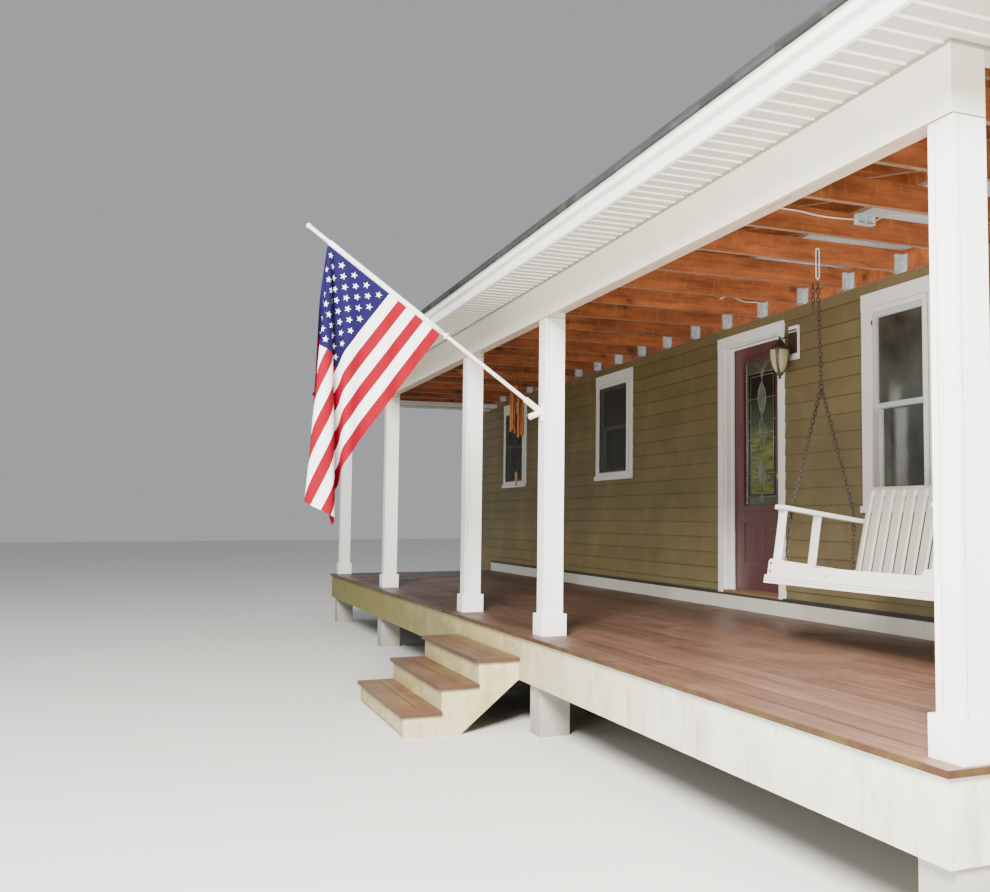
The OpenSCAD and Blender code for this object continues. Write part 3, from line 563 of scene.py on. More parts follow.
def wood(name, light, dark, stretch, boards, knots=0.0, roughness=0.5, radius=0.003,
         spread=(0.75, 1.2)):
    """Boards, each with its own tone, with grain, and knots where they are asked for."""
    f = Finish(name, None, roughness)
    f.edge = f.rounded(radius)
    across, start, pitch = boards
    board = f.use("boards", Across=across, Start=start, Pitch=pitch)
    grain = f.use("grain", Stretch=stretch, Light=light, Dark=dark)
    f.colour = grain["Color"]
    f.vary(board["Random"], *spread)
    f.vary(f.noise(3.1, 5, 0.6), 0.8, 1.15)
    if knots:
        spot = f.spots(5.5, [1.0, 0.55, 1.0])["Distance"]
        f.tint(f.remap(spot, 0.15, 0.08), (0.075, 0.02, 0.010), 0.85 * knots)
        f.tint(f.remap(spot, 0.30, 0.12), [0.6 * c for c in dark], 0.35 * knots)
    f.relief(grain["Height"], 0.0012, 0.6)
    return f


def metal(name):
    """Worn metal."""
    colour, roughness, metallic, worn, grain = METALS[name]
    f = Finish(name, colour, roughness, Metallic=metallic)
    f.vary(f.noise(grain, 3, 0.6), 0.85, 1.12)
    f.tint(f.use("weather", Amount=1.0)["Patch"], worn, 0.4)
    f.relief(f.noise(grain * 1.5, 2), 0.0003, 0.4)
    f.roughness = f.remap(f.noise(14.0, 4), 0.3, 0.7, roughness - 0.08, roughness + 0.14)
    return f


def make_paints(look):
    wear = look.wear
    f = paint("trim_paint", look.trim, DIRT, 0.55 * wear)
    # Painted shade: greyer towards the far end
    f.fade("X", 0.0, -4.0, (0.50, 0.49, 0.46), 0.45)
    f.done()

    # Windows: white frames, and painted shade, bluish grey, where they stand back in the wall
    f = paint("window_paint", look.trim, DIRT, 0.55 * wear)
    f.fade("Y", *RECESS, (0.40, 0.43, 0.45), 0.8)
    # Painted shade: darker and yellower towards the far end
    f.fade("X", 1.0, -3.0, (0.66, 0.63, 0.40), 0.35)
    f.done()

    # The beam: cream, which is painted warm bounce light from the deck, and a tan underside, which
    # is painted shade with warm bounce light, with cracks and dark spots
    f = paint("beam_paint", (0.72, 0.70, 0.60), DIRT, 0.5 * wear)
    under = f.remap(f.facing("Z"), *UNDER)
    # Painted shade with yellow algae: darker and yellower towards the far end
    f.fade("X", 2.0, -5.0, (0.46, 0.40, 0.22), 0.75)
    # Painted shade and warm bounce light on the underside
    f.tint(under, (0.50, 0.36, 0.27), 0.85)
    crack = f.remap(f.noise(2.0, 6, 0.7, 0.3, stretch=[0.9, 30.0, 1.0]), 0.60, 0.64)
    f.tint(f.times(crack, under), (0.07, 0.05, 0.035), 0.8)
    f.done()

    # Base board, near black above the foot of its drip cap
    f = paint("base_paint", (0.55, 0.54, 0.48), (0.36, 0.32, 0.22), 1.2 * wear)
    f.tint(f.above(f.along("Z"), DRIP_CAP), (0.014, 0.012, 0.010), 0.95)
    f.done()

    # Skirt and step sides: green and yellow stains that grow towards the far end and the ground,
    # and painted shade towards the far end
    f = paint("skirt_paint", look.skirt, (0.45, 0.42, 0.25), 1.0 * wear, 0.55)
    far = f.remap(f.along("X"), 3.5, -2.5, 0.25, 1.0)
    low = f.use("low", From=0.48, To=0.95)["Mask"]
    # Painted shade with yellow stain, deepening towards the far end in two steps
    f.fade("X", 4.6, 1.2, (0.54, 0.43, 0.14), 0.75)
    f.fade("X", 1.2, -3.0, (0.15, 0.108, 0.006), 0.93)
    stain = f.times(f.times(low, far), f.remap(f.noise(5.0, 7, 0.7), 0.25, 0.55))
    f.tint(stain, (0.17, 0.145, 0.030), 0.95 * wear)
    green = f.remap(f.noise(1.0, 6, 0.7, stretch=[9.0, 9.0, 2.0]), 0.52, 0.75)
    f.tint(f.times(green, low), (0.14, 0.17, 0.05), 0.6 * wear)
    # Brown run-off on the steps, under the boards' edges
    steps = f.remap(f.along("Y"), *SKIRT)
    rust = f.remap(f.noise(1.3, 7, 0.72, stretch=[5.0, 5.0, 1.6]), 0.52, 0.68)
    f.tint(f.times(steps, rust), (0.36, 0.25, 0.09), 0.55 * wear)
    f.done()

    f = paint("door_paint", look.door, (0.24, 0.09, 0.09), 0.5 * wear, 0.34, 0.004)
    f.vary(f.noise(1.4, 3), 0.85, 1.2)
    f.done()

    # The swing, and its back slats, whose front faces get painted shade, a greyer cream than their
    # edges
    paint("swing_paint", (0.72, 0.72, 0.68), SWING_DIRT, 0.6 * wear, 0.42, 0.004).done()
    f = paint("slat_paint", (0.72, 0.72, 0.68), SWING_DIRT, 0.6 * wear, 0.5, 0.004)
    # Painted shade on the faces turned to the front
    f.tint(f.remap(f.facing("Y"), -0.6, -0.85), (0.36, 0.36, 0.30), 0.95)
    f.done()

    # Lap siding: a tone for each course, runs and patches
    f = Finish("siding_paint", look.siding, 0.62)
    course = f.use("boards", Across=[0.0, 0.0, 1.0], Start=0.44, Pitch=0.13)
    f.vary(course["Random"], 0.93, 1.07)
    f.vary(f.noise(1.1, 5), 0.86, 1.12)
    weather = f.use("weather", Amount=wear)
    f.tint(weather["Run"], (0.15, 0.115, 0.05), 0.12)
    f.tint(weather["Patch"], (0.30, 0.235, 0.10), 0.22)
    # Painted light: yellower to the far end, and bluer to the near end, where more of the sky
    # reaches it
    tone = f.mix(f.remap(f.along("X"), -2.0, 5.5), (1.22, 1.24, 0.92), (1.06, 1.14, 1.42))
    f.colour = f.mix(1.0, f.colour, tone, "MULTIPLY")
    # Shadow under each board's thick lower edge
    f.tint(f.remap(course["Edge"], 0.955, 0.985), (0.035, 0.026, 0.012), 0.8)
    f.relief(f.use("grain", Stretch=[5.0, 90.0, 90.0])["Height"], 0.0009, 0.5)
    KIT["siding"] = f.done()


def make_woods(look):
    wood("oak", (0.40, 0.235, 0.10), (0.16, 0.075, 0.03), [3.0, 90.0, 90.0],
         ([0.0, 1.0, 0.0], -0.2, 0.09), 0.0, 0.38, 0.004).done()

    # Rough treated lumber under the deck
    wood("framing", (0.24, 0.19, 0.10), (0.09, 0.07, 0.04), [4.0, 30.0, 60.0],
         ([1.0, 0.0, 0.0], 0.0, 0.4064), 0.6, 0.8, 0.002).done()

    # Composite boards: streaks along each board, scuffs and dust
    f = wood("decking", look.deck, look.deck_dark, DECK_STREAKS, DECK_BOARDS, spread=(0.82, 1.18))
    f.put(f.shader.inputs["Specular IOR Level"], 0.28)
    weather = f.use("weather", Amount=look.wear)
    f.tint(weather["Patch"], (0.30, 0.19, 0.125), 0.3)
    f.tint(weather["Speck"], (0.50, 0.41, 0.32), 0.5)
    f.tint(f.edge, (0.34, 0.22, 0.15), 0.35)
    # Painted light and shade: lighter at the open end, where the sun falls, darker and browner
    # under the roof; painted shade on the upright edges, and moss along them
    f.vary(f.remap(f.along("X"), 1.5, 6.6), 0.5, 1.2)
    side = f.remap(f.facing("Z"), *UPRIGHT)
    # Painted shade on the upright faces
    f.tint(side, (0.050, 0.020, 0.008), 0.97)
    moss = f.remap(f.noise(9.0, 6, 0.7), 0.45, 0.62)
    f.tint(f.times(side, moss), (0.085, 0.062, 0.012), 0.7)
    f.roughness = f.remap(weather["Patch"], 0, 1, 0.42, 0.68)
    f.done()

    f = wood("tread_boards", (0.23, 0.120, 0.050), (0.072, 0.033, 0.018), DECK_STREAKS, DECK_BOARDS,
             spread=(0.85, 1.15))
    f.tint(f.use("weather", Amount=look.wear)["Patch"], (0.36, 0.25, 0.13), 0.45)
    # Painted shade on the upright faces, the boards' front edges
    f.tint(f.remap(f.facing("Z"), *UPRIGHT), (0.060, 0.024, 0.013), 0.92)
    f.done()

    # Stained joists and ledgers: each board its own tone, knots, and a paler lower edge
    f = wood("stained_wood", look.stain, (0.20, 0.052, 0.018), [70.0, 1.6, 34.0], JOISTS, 1.0,
             spread=(0.72, 1.2))
    f.vary(f.remap(f.noise(2.6, 6, 0.65, stretch=[1.0, 1.0, 3.0]), 0.32, 0.68), 0.55, 1.25)
    pale = f.remap(f.noise(6.0, 6, 0.7, stretch=[1.0, 5.0, 1.0]), 0.56, 0.72)
    f.tint(pale, (0.58, 0.24, 0.085), 0.5)
    # Greyer undersides, and drips and streaks along the sides
    f.tint(f.remap(f.facing("Z"), *UNDER), (0.30, 0.205, 0.145), 0.75)
    streak = f.remap(f.noise(3.0, 5, 0.65, 0.6, stretch=[1.0, 0.8, 9.0]), 0.56, 0.68)
    f.tint(streak, (0.10, 0.03, 0.012), 0.6)
    drip = f.remap(f.noise(1.6, 3, 0.5, stretch=[1.0, 24.0, 3.5]), 0.70, 0.74)
    f.tint(drip, (0.66, 0.36, 0.19), 0.3)
    f.tint(f.edge, (0.60, 0.36, 0.21), 0.3)
    f.done()


def make_shell(look):
    """Concrete, sheathing, shingles and vinyl."""
    f = Finish("concrete", (0.40, 0.39, 0.36), 0.85)
    f.vary(f.noise(3.0, 8, 0.65), 0.65, 1.25)
    f.tint(f.use("low", From=-0.05, To=0.30)["Mask"], (0.12, 0.13, 0.07), 0.6)
    f.relief(f.noise(60.0, 6, 0.7), 0.004, 0.7)
    f.done()

    # Sheathing, covered with white building wrap at the siding's side
    f = Finish("sheathing", None, 0.6)
    board = f.use("grain", Stretch=[30.0, 30.0, 30.0], Light=(0.55, 0.42, 0.24),
                  Dark=(0.26, 0.17, 0.08))
    wrap = f.mix(f.remap(f.noise(3.0, 3), 0.35, 0.7), (0.66, 0.70, 0.74), (0.8, 0.83, 0.85))
    f.colour = f.mix(f.below(f.facing("Y"), -0.5), board["Color"], wrap)
    f.relief(f.noise(9.0, 5, 0.6), 0.004, 0.5)
    f.done()

    # Asphalt shingles: courses up the slope, tabs, grit, and moss near the eave
    f = Finish("shingle", (0.030, 0.030, 0.032), 0.95, Specular_IOR_Level=0.2)
    course = f.use("boards", Across=[0.0, 0.0, 1.0], Start=3.04, Pitch=0.0325)
    # Tabs run along the eave: by X on the long slope, and by Y on the hipped ends
    x, y = f.along("X"), f.along("Y")
    end = f.above(f.absolute(f.facing("X")), f.absolute(f.facing("Y")))
    x = f.plus(x, f.times(end, f.minus(y, x)))
    x = f.plus(x, f.times(course["Random"], 0.3))
    tab = f.random(f.plus(f.math("FLOOR", f.times(x, 3.3)), f.times(course["Number"], 17.0)))
    f.vary(tab, 0.7, 1.35)
    f.vary(f.noise(420.0, 2), 0.55, 1.5)
    f.tint(f.above(course["Edge"], 0.93), (0.015, 0.015, 0.015), 0.8)
    moss = f.remap(f.noise(7.0, 6, 0.7), 0.55, 0.7)
    f.tint(f.times(moss, f.use("low", From=3.02, To=3.14)["Mask"]), (0.10, 0.115, 0.05), 0.7)
    f.relief(f.noise(300.0, 3), 0.0025, 0.8)
    f.done()

    # Soffit ribs: the same vinyl as the soffit, made lighter as a painted highlight
    f = Finish("vinyl_rib", (0.86, 0.86, 0.83), 0.4)
    f.vary(f.noise(5.0, 4), 0.9, 1.05)
    # Painted shade with yellow algae towards the far end
    f.fade("X", 2.0, -5.0, (0.50, 0.45, 0.30), 0.6)
    f.done()

    f = Finish("vinyl", (0.44, 0.425, 0.37), 0.5)
    f.vary(f.noise(1.8, 4), 0.92, 1.06)
    f.tint(f.use("weather", Amount=look.wear)["Patch"], (0.43, 0.38, 0.28), 0.25)
    # Painted shade with yellow algae towards the far end
    f.fade("X", 2.0, -5.0, (0.30, 0.255, 0.14), 0.7)
    f.relief(f.noise(2.0, 3, stretch=[60.0, 4.0, 60.0]), 0.0005, 0.4)
    f.done()


def make_metals():
    for name in METALS:
        f = metal(name)
        if name == "copper":
            # The chime's cord, a dark square column above its tubes
            mask = f.above(f.along("Z"), 1.85)
            for axis, centre in (("X", -1.5468), ("Y", -1.225)):
                mask = f.times(mask, f.below(f.absolute(f.minus(f.along(axis), centre)), 0.004))
            f.tint(mask, (0.02, 0.014, 0.010), 0.95)
        f.done()

    # Zinc with its spangle, for hangers and hooks
    f = Finish("galvanised", (0.56, 0.63, 0.68), 0.42, Metallic=0.35)
    cell = f.split(f.spots(75.0)["Color"])
    f.vary(cell["X"], 0.72, 1.18)
    f.roughness = f.remap(cell["Y"], 0, 1, 0.34, 0.6)
    f.done()


def make_glass():
    # Glass over a dark room: a sharp reflection on a base that changes slowly between the room's
    # painted shade and a lighter painted reflection
    f = Finish("window_glass", None, 0.05, IOR=1.55)
    reflection_wave = f.remap(f.noise(1.6, 3, 0.5, 0.3), 0.38, 0.66)
    f.colour = f.mix(reflection_wave, (0.020, 0.021, 0.019), (0.075, 0.082, 0.070))
    f.relief(f.noise(2.2, 2), 0.004, 0.08)
    f.done()

    # Door glass: grey-green border, and a field that goes from brown at the top to yellow-green, a
    # painted reflection of trees
    f = Finish("leaded_glass", (0.055, 0.062, 0.036), 0.12, IOR=1.3)
    z = f.along("Z")
    f.vary(f.noise(16.0, 4, 0.6), 0.7, 1.35)
    off = f.absolute(f.minus(f.along("X"), GLASS_MIDDLE))
    band, inner = (
        f.times(f.times(f.below(off, half), f.below(z, head)), f.above(z, foot))
        for half, foot, head in (DARK_BAND, FIELD)
    )
    f.tint(band, (0.010, 0.009, 0.007), 0.9)
    # Painted reflection of trees in the field
    reflection_wave = f.noise(1.0, 5, 0.65, 0.5, stretch=[5.0, 5.0, 34.0])
    level = f.plus(z, f.remap(reflection_wave, 0, 1, -0.16, 0.16))
    tone = f.mix(f.remap(reflection_wave, 0.40, 0.62), (0.035, 0.055, 0.010), (0.17, 0.19, 0.022))
    tone = f.mix(f.remap(level, 2.18, 2.04), (0.034, 0.042, 0.022), tone)
    tone = f.mix(f.remap(level, 2.34, 2.40), tone, (0.022, 0.015, 0.012))
    f.colour = f.mix(inner, f.colour, tone)
    f.relief(f.noise(40.0, 3), 0.0008, 0.3)
    f.done()

    # Cream seeded glass that glows a little where light passes through it
    f = Finish("amber_glass", (0.40, 0.38, 0.21), 0.22, Subsurface_Weight=0.35,
               Subsurface_Radius=(0.03, 0.02, 0.01))
    f.vary(f.noise(30.0, 5, 0.6), 0.82, 1.15)
    f.relief(f.spots(160.0)["Distance"], 0.0006, 0.3)
    f.done()

    f = Finish("bevel_glass", (0.085, 0.10, 0.07), 0.10, IOR=1.45)
    f.vary(f.noise(1.0, 4, stretch=[60.0, 10.0, 12.0]), 0.3, 2.0)
    f.done()

    # Fine dark netting, through which the sashes show
    f = Finish("screen_net", (0.045, 0.042, 0.038), 0.8, Alpha=0.48)
    f.vary(f.noise(3.0, 4), 0.8, 1.25)
    thread = f.add("TexWave", {"Vector": f.place(), "Scale": 160.0}, bands_direction="Z")
    f.relief(thread.outputs["Fac"], 0.0003, 0.4)
    f.done()


def make_cloths():
    # Nylon: stripes and stars under a fine weave
    f = Finish("flag_cloth", None, 0.8, Specular_IOR_Level=0.1)
    f.colour = f.use("flag")["Color"]
    uv = f.add("UVMap", uv_map="cloth").outputs[0]
    threads = f.vector("MULTIPLY", uv, [1450.0, 880.0, 1.0])
    weave = f.add("TexWave", {"Vector": threads, "Scale": 0.6})
    f.vary(f.noise(7.0, 4, where=uv), 0.93, 1.04)
    f.relief(weave.outputs["Fac"], 0.0002, 0.35)
    f.done()

    f = Finish("canvas", (0.78, 0.77, 0.73), 0.8, Sheen_Weight=0.2)
    f.vary(f.noise(40.0, 4), 0.9, 1.05)
    f.relief(f.noise(900.0, 2), 0.0003, 0.5)
    f.done()


def make_finishes(look):
    """Every finish by the record's slot, and the ones that only new pieces use."""
    make_paints(look)
    make_woods(look)
    make_shell(look)
    make_metals()
    make_glass()
    make_cloths()
    for name, (tone, roughness, scale, detail, low, high, inputs) in PLAIN.items():
        f = Finish(name, tone, roughness, **inputs)
        f.vary(f.noise(scale, detail), low, high)
        f.done()


# ---------------------------------------------------------------- pieces
class PORCH_OT_finishes(bpy.types.Operator):
    """Make the finishes and give each CAD piece its own"""

    bl_idname = "porch.finishes"
    bl_label = "Finishes"

    # CAD pieces whose finish isn't the one that their slot names
    own = {
        "front_beam": "beam_paint", "base_board": "base_paint", "swing_hooks": "white_metal",
        "swing_back": "slat_paint", **dict.fromkeys(WINDOWS, "window_paint"),
        **dict.fromkeys(("tread_1", "tread_2", "tread_3"), "tread_boards"),
    }

    def execute(self, context):
        make_effects()
        make_finishes(context.scene.porch_paint)
        slots = {row["node"]: row["material_slot"] for row in frame["record"]["subparts"]}
        for name, node in NODES.items():
            node.data.materials.clear()
            node.data.materials.append(KIT[self.own.get(name, slots[name])])
        return {"FINISHED"}


class PORCH_OT_soffit(bpy.types.Operator):
    """Add the soffit's ribs and the channels that hold it"""

    bl_idname = "porch.soffit"
    bl_label = "Soffit ribs"

    pitch = 0.0985
    depth = 0.006
    width = 0.014
    # Thickness of the channel round the beam, and how far it hangs down
    thick = 0.012
    drop = 0.010

    def execute(self, context):
        low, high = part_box("soffit")
        beam_low, beam_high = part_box("front_beam")
        under = low.z
        ribs = Shape()
        half, narrow = self.width / 2, self.width / 4
        outline = [(-half, 0), (-narrow, -self.depth), (narrow, -self.depth), (half, 0)]
        x = low.x + self.pitch / 2
        while x < high.x - self.width:
            back = beam_low.y - self.thick if beam_low.x < x < beam_high.x else high.y - 0.01
            ribs.prism(outline, lambda a, b, t, x=x: (x + a, t, under + b + 0.0005), low.y, back)
            x += self.pitch
        # The ribs' lighter finish is a painted highlight
        ribs.make("soffit_ribs", "vinyl_rib", "porch", "vinyl")

        channel = Shape()
        t, foot, head = self.thick, under - self.drop, under + 0.001
        channel.box((beam_low.x - t, beam_low.y - t, foot), (beam_high.x + t, beam_low.y, head))
        for x in (beam_low.x - t, beam_high.x):
            channel.box((x, beam_low.y, foot), (x + t, high.y, head))
        channel.make("soffit_channel", "channel", "porch", "vinyl")
        return {"FINISHED"}


class PORCH_OT_chain(bpy.types.Operator):
    """Replace the plain swing chains with linked ones, and add the bench's small parts"""

    bl_idname = "porch.chain"
    bl_label = "Swing chains"

    hang = Vector((0, -0.775, 2.86))
    fork = Vector((0, -0.785, 2.193))
    fork_in = 0.046
    # The bench is tipped back about the top edge of its front board
    edge = Vector((0, -1.175, 1.149))
    tilt = radians(8.5)
    # Distances behind and above that edge of each leg's bend and foot
    legs = (((0.109, 0.345), (0.108, 0.0)), ((0.544, 0.360), (0.585, 0.0)))
    # Radius and height along the eyes' washers and the bolts' heads
    washer = ((0.010, 0), (0.010, 0.002), (0.004, 0.0025), (0.004, 0.006))
    bolt = ((0.009, 0), (0.009, 0.003), (0.006, 0.0055), (0.0015, 0.006))
    # Places in X, and above the board's top edge, of the crack's ends and bend
    crack = ((4.098, -0.067), (4.062, -0.085), (4.097, -0.099))

    def on_bench(self, x, back, up):
        turned = Vector((x, back * cos(self.tilt) + up * sin(self.tilt),
                         up * cos(self.tilt) - back * sin(self.tilt)))
        return self.edge + turned

    def run(self, shape, points, chain):
        """Oval links along a path, each turned a quarter from the last."""
        for start, end in zip(points, points[1:]):
            along = (end - start).normalized()
            side = along.cross(Vector((0.3, 1, 0))).normalized()
            sides = (side, along.cross(side))
            count = max(1, round((end - start).length / chain.pitch))
            for i in range(count):
                self.link(shape, start.lerp(end, (i + 0.5) / count), along, sides[i % 2], chain)

    def link(self, shape, centre, along, side, chain):
        """Two straight wires and two half rings."""
        radius = (chain.width - chain.wire) / 2
        half = (chain.pitch + chain.wire) / 2 - radius
        points = [
            centre + end * (along * (half + radius * cos(a)) + side * radius * sin(a))
            for end in (1, -1) for a in np.linspace(-pi / 2, pi / 2, 6)
        ]
        shape.tube(points, chain.wire / 2, 6, closed=True)

    def ring(self, shape, centre, radius, wire):
        """A ring that stands in the chain's plane."""
        shape.tube([centre + Vector((0, radius * cos(a), radius * sin(a))) for a in circle(16)],
                   wire, 8, closed=True)

    def execute(self, context):
        chain = context.scene.porch_chain
        links, eyes, heads = Shape(), Shape(), Shape()
        low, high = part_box("swing_chains")
        seat_low, seat_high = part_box("swing_seat")
        lift = self.on_bench(0, 0, 1) - self.edge
        forward = self.on_bench(0, -1, 0) - self.edge
        for s, x, end in ((1, low.x + 0.011, seat_low.x), (-1, high.x - 0.011, seat_high.x)):
            hang = self.hang + SIDE * x
            fork = self.fork + SIDE * (x + s * self.fork_in)
            self.ring(links, hang - UP * 0.002, 0.010, 0.0028)
            self.run(links, [hang - UP * 0.014, fork + UP * 0.014], chain)
            self.ring(links, fork, 0.015, 0.0035)
            for leg in self.legs:
                bend, foot = (self.on_bench(end + s * 0.027, *place) for place in leg)
                start = fork + (bend - fork).normalized() * 0.014
                self.run(links, [start, bend, foot + lift * 0.026], chain)
                self.ring(eyes, foot + lift * 0.015, 0.010, 0.0028)
                eyes.lathe(self.washer, foot, 12, lift)
            # The chain's spare end hangs beside it from the hook
            tail = hang + Vector((-s * 0.010, -0.030, -0.012))
            self.run(links, [tail, tail - UP * 0.175], chain)
            # Bolts through the raised ends of the upper front board
            for up in (-0.026, -0.073):
                heads.lathe(self.bolt, self.on_bench(end + s * 0.042, 0, up), 12, forward)
        piece = links.make("swing_chain_links", "chain_steel", "swing", "chain_steel", smooth=True)
        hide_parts("swing_chains")
        eyes.make("swing_eyes", "chain_steel", "swing", "galvanised", smooth=True)
        heads.make("swing_bolts", "bronze", "swing", "chain_steel", smooth=True)

        # Thin grooves along the lower front board, which stands 12 mm before the upper one
        lines = Shape()
        for up in (-0.112, -0.127):
            x0, x1, top = seat_low.x, seat_high.x, up + 0.0016
            outline = [(x0, up), (x1, up), (x1, top), (x0, top)]
            lines.prism(outline, lambda x, up, back: self.on_bench(x, back, up), -0.0116, -0.0123)
        # A crack in the upper front board
        lines.tube([self.on_bench(x, -0.0006, up) for x, up in self.crack], 0.0018, 6)
        lines.make("swing_grooves", "seam", "swing", "swing_paint")
        return {"FINISHED"}


class PORCH_OT_leading(bpy.types.Operator):
    """Add the lead strips and bevelled panes of the door's glass"""

    bl_idname = "porch.leading"
    bl_label = "Leaded glass"

    strip = 0.0026
    # Half widths of the two frames of lead, and their distances from the glass's foot and head
    outer, inner = 0.236, 0.190
    frames = ((outer, 0.074, 0.101), (inner, 0.098, 0.128))

    def place(self, x, z):
        return Vector((self.mid_x + x, self.face, z))

    def curve(self, *points):
        """A lead strip through points, and its mirror image."""
        dense = catmull([Vector((x, 0, z)) for x, z in points])
        for s in (1, -1):
            self.lead.tube([self.place(s * p.x, p.z) for p in dense], self.strip, 6)

    def line(self, x0, z0, x1, z1):
        self.lead.tube([self.place(x0, z0), self.place(x1, z1)], self.strip, 6)

    def lens(self, z, height, width):
        """A bevelled leaf: its lead edge, and two slanted panes that meet in a ridge."""
        side = [(width * sin(pi * t), z + height * (0.5 - t)) for t in np.linspace(0, 1, 17)]
        for s in (-1, 1):
            self.lead.tube([self.place(s * x, h) for x, h in side], self.strip, 6)
            for (xa, za), (xb, zb) in zip(side, side[1:]):
                ridge_a, ridge_b = self.place(0, za), self.place(0, zb)
                ridge_a.y -= 0.007
                ridge_b.y -= 0.007
                quad = [ridge_a, ridge_b, self.place(s * xb, zb), self.place(s * xa, za)]
                self.bevel.add(quad, [(0, 1, 2, 3) if s < 0 else (3, 2, 1, 0)])
        self.line(0, z - height / 2, 0, z + height / 2)

    def beads(self, x, low, high, step=0.016):
        """Small bright bevels in a row along the glass's edge."""
        n = int((high - low) / step)
        d, h = 0.0045, 0.0055
        for i in range(n):
            c = self.place(x, low + (i + 0.5) * (high - low) / n)
            corners = [c + Vector((a * d, 0, b * h))
                       for a, b in ((-1, -1), (1, -1), (1, 1), (-1, 1))]
            top = c + Vector((0, -0.005, 0))
            self.bead.add([*corners, top], [(0, 1, 4), (1, 2, 4), (2, 3, 4), (3, 0, 4)])

    def execute(self, context):
        low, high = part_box("door_glass")
        self.mid_x = (low.x + high.x) / 2
        self.face = low.y - 0.001
        self.lead, self.bevel, self.bead = Shape(), Shape(), Shape()
        half = (high.x - low.x) / 2
        z0, z1 = low.z, high.z
        for x, foot, head in self.frames:
            for s in (-1, 1):
                self.line(s * x, z0 + foot, s * x, z1 - head)
            for z in (z0 + foot, z1 - head):
                self.line(-x, z, x, z)
        for s in (-1, 1):
            self.beads(s * (half - 0.010), z0 + 0.01, z1 - 0.01)
        upper, lower, middle = z1 - 0.315, z0 + 0.265, z0 + 0.597
        # Cross strips tie the border to the leaves
        for z in (upper, lower, z0 + 0.55, z1 - 0.50):
            for s in (-1, 1):
                self.line(s * self.inner, z, s * self.outer, z)
        leaves = ((upper, 0.296, 0.066), (lower, 0.27, 0.060), (middle, 0.12, 0.034))
        for z, height, width in leaves:
            self.lens(z, height, width)
            for s in (-1, 1):
                self.line(s * width, z, s * self.inner, z)
        # The middle strip, between the leaves
        for foot, head in ((z0 + 0.01, lower - 0.135), (lower + 0.135, middle - 0.06),
                           (middle + 0.06, upper - 0.148), (upper + 0.148, z1 - 0.01)):
            self.line(0, foot, 0, head)
        # Scrolls between the leaves and at both ends
        for turn in (1, -1):
            self.curve(*((x, middle + turn * z) for x, z in
                         ((0, 0.14), (0.03, 0.10), (0.05, 0.03), (0.10, -0.03))))
        self.curve((0, z1 - 0.15), (0.03, z1 - 0.10), (0.08, z1 - 0.05), (0.13, z1 - 0.01))
        self.curve((0, z1 - 0.12), (0.02, z1 - 0.08), (0.05, z1 - 0.04), (0.08, z1 - 0.01))
        self.curve((0, z0 + 0.10), (0.03, z0 + 0.06), (0.02, z0 + 0.03), (0.06, z0 + 0.01))
        self.lead.make("door_leading", "lead", "door", "leaded_glass", smooth=True)
        self.bevel.make("door_bevels", "bevel_glass", "door", "leaded_glass")
        self.bead.make("door_beads", "bead_glass", "door", "leaded_glass")
        return {"FINISHED"}


def catmull(points, steps=6):
    """Smooth curve through points."""
    points = [points[0] * 2 - points[1], *points, points[-1] * 2 - points[-2]]
    dense = []
    for a, b, c, d in zip(points, points[1:], points[2:], points[3:]):
        for t in np.linspace(0, 1, steps, endpoint=False):
            dense.append(0.5 * ((2 * b) + (c - a) * t + (2 * a - 5 * b + 4 * c - d) * t * t
                                + (3 * b - a - 3 * c + d) * t ** 3))
    return dense + [points[-2]]


class PORCH_OT_windows(bpy.types.Operator):
    """Add the far windows' insect screens, open joints at the frames, and the clips"""

    bl_idname = "porch.windows"
    bl_label = "Window fittings"

    # Half width, foot and head of the opening inside a far window's frame
    opening = (0.389, 1.865, 2.787)
    # Front, back and width of a screen's frame
    screen = (-0.0865, -0.0795, 0.011)
    # Width of an open joint, and its front and back beside a frame and over it
    joint = 0.005
    beside = (-0.0778, -0.0765)
    over = (-0.0808, -0.0795)
    # Width of a casing beside, under and over its frame
    casing = (0.106, 0.044, 0.108)

    def execute(self, context):
        frames, nets, clips, lines = Shape(), Shape(), Shape(), Shape()
        half, foot, head = self.opening
        y0, y1, w = self.screen
        for name in WINDOWS[1:]:
            low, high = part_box(name)
            x = (low.x + high.x) / 2
            for s in (-1, 1):
                x0, x1 = sorted((x + s * half, x + s * (half - w)))
                frames.box((x0, y0, foot), (x1, y1, head))
                # Spring clips at both sides, near the foot and the head
                for z in (foot + 0.10, head - 0.10):
                    x0, x1 = sorted((x + s * (half - 0.004), x + s * (half - 0.017)))
                    clips.box((x0, y0 - 0.004, z - 0.016), (x1, y0, z + 0.016))
            for z0, z1 in ((foot, foot + w), (head - w, head)):
                frames.box((x - half + w, y0, z0), (x + half - w, y1, z1))
            y = (y0 + y1) / 2
            nets.box((x - half + w, y - 0.0004, foot + w), (x + half - w, y + 0.0004, head - w))
        # Open joints between the casings and the frames
        side, sill, top = self.casing
        for name in WINDOWS:
            low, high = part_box(name)
            x0, x1 = low.x + side, high.x - side
            z0, z1 = low.z + sill, high.z - top
            y0, y1 = self.beside
            for x in (x0 - self.joint, x1):
                lines.box((x, y0, z0), (x + self.joint, y1, z1))
            y0, y1 = self.over
            lines.box((x0 - self.joint, y0, z1), (x1 + self.joint, y1, z1 + self.joint))
        lines.make("window_seams", "seam", "porch", "trim_paint")
        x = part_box(WINDOWS[0])[0].x
        for z in (2.72, 1.56):
            clips.box((x + 0.137, -0.0905, z - 0.016), (x + 0.149, -0.0825, z + 0.016))
        frames.make("screen_frames", "screen_frame", "porch", "window_glass")
        nets.make("screen_nets", "screen_net", "porch", "window_glass")
        clips.make("window_clips", "seam", "porch", "window_glass", bevel=0.0015)
        return {"FINISHED"}


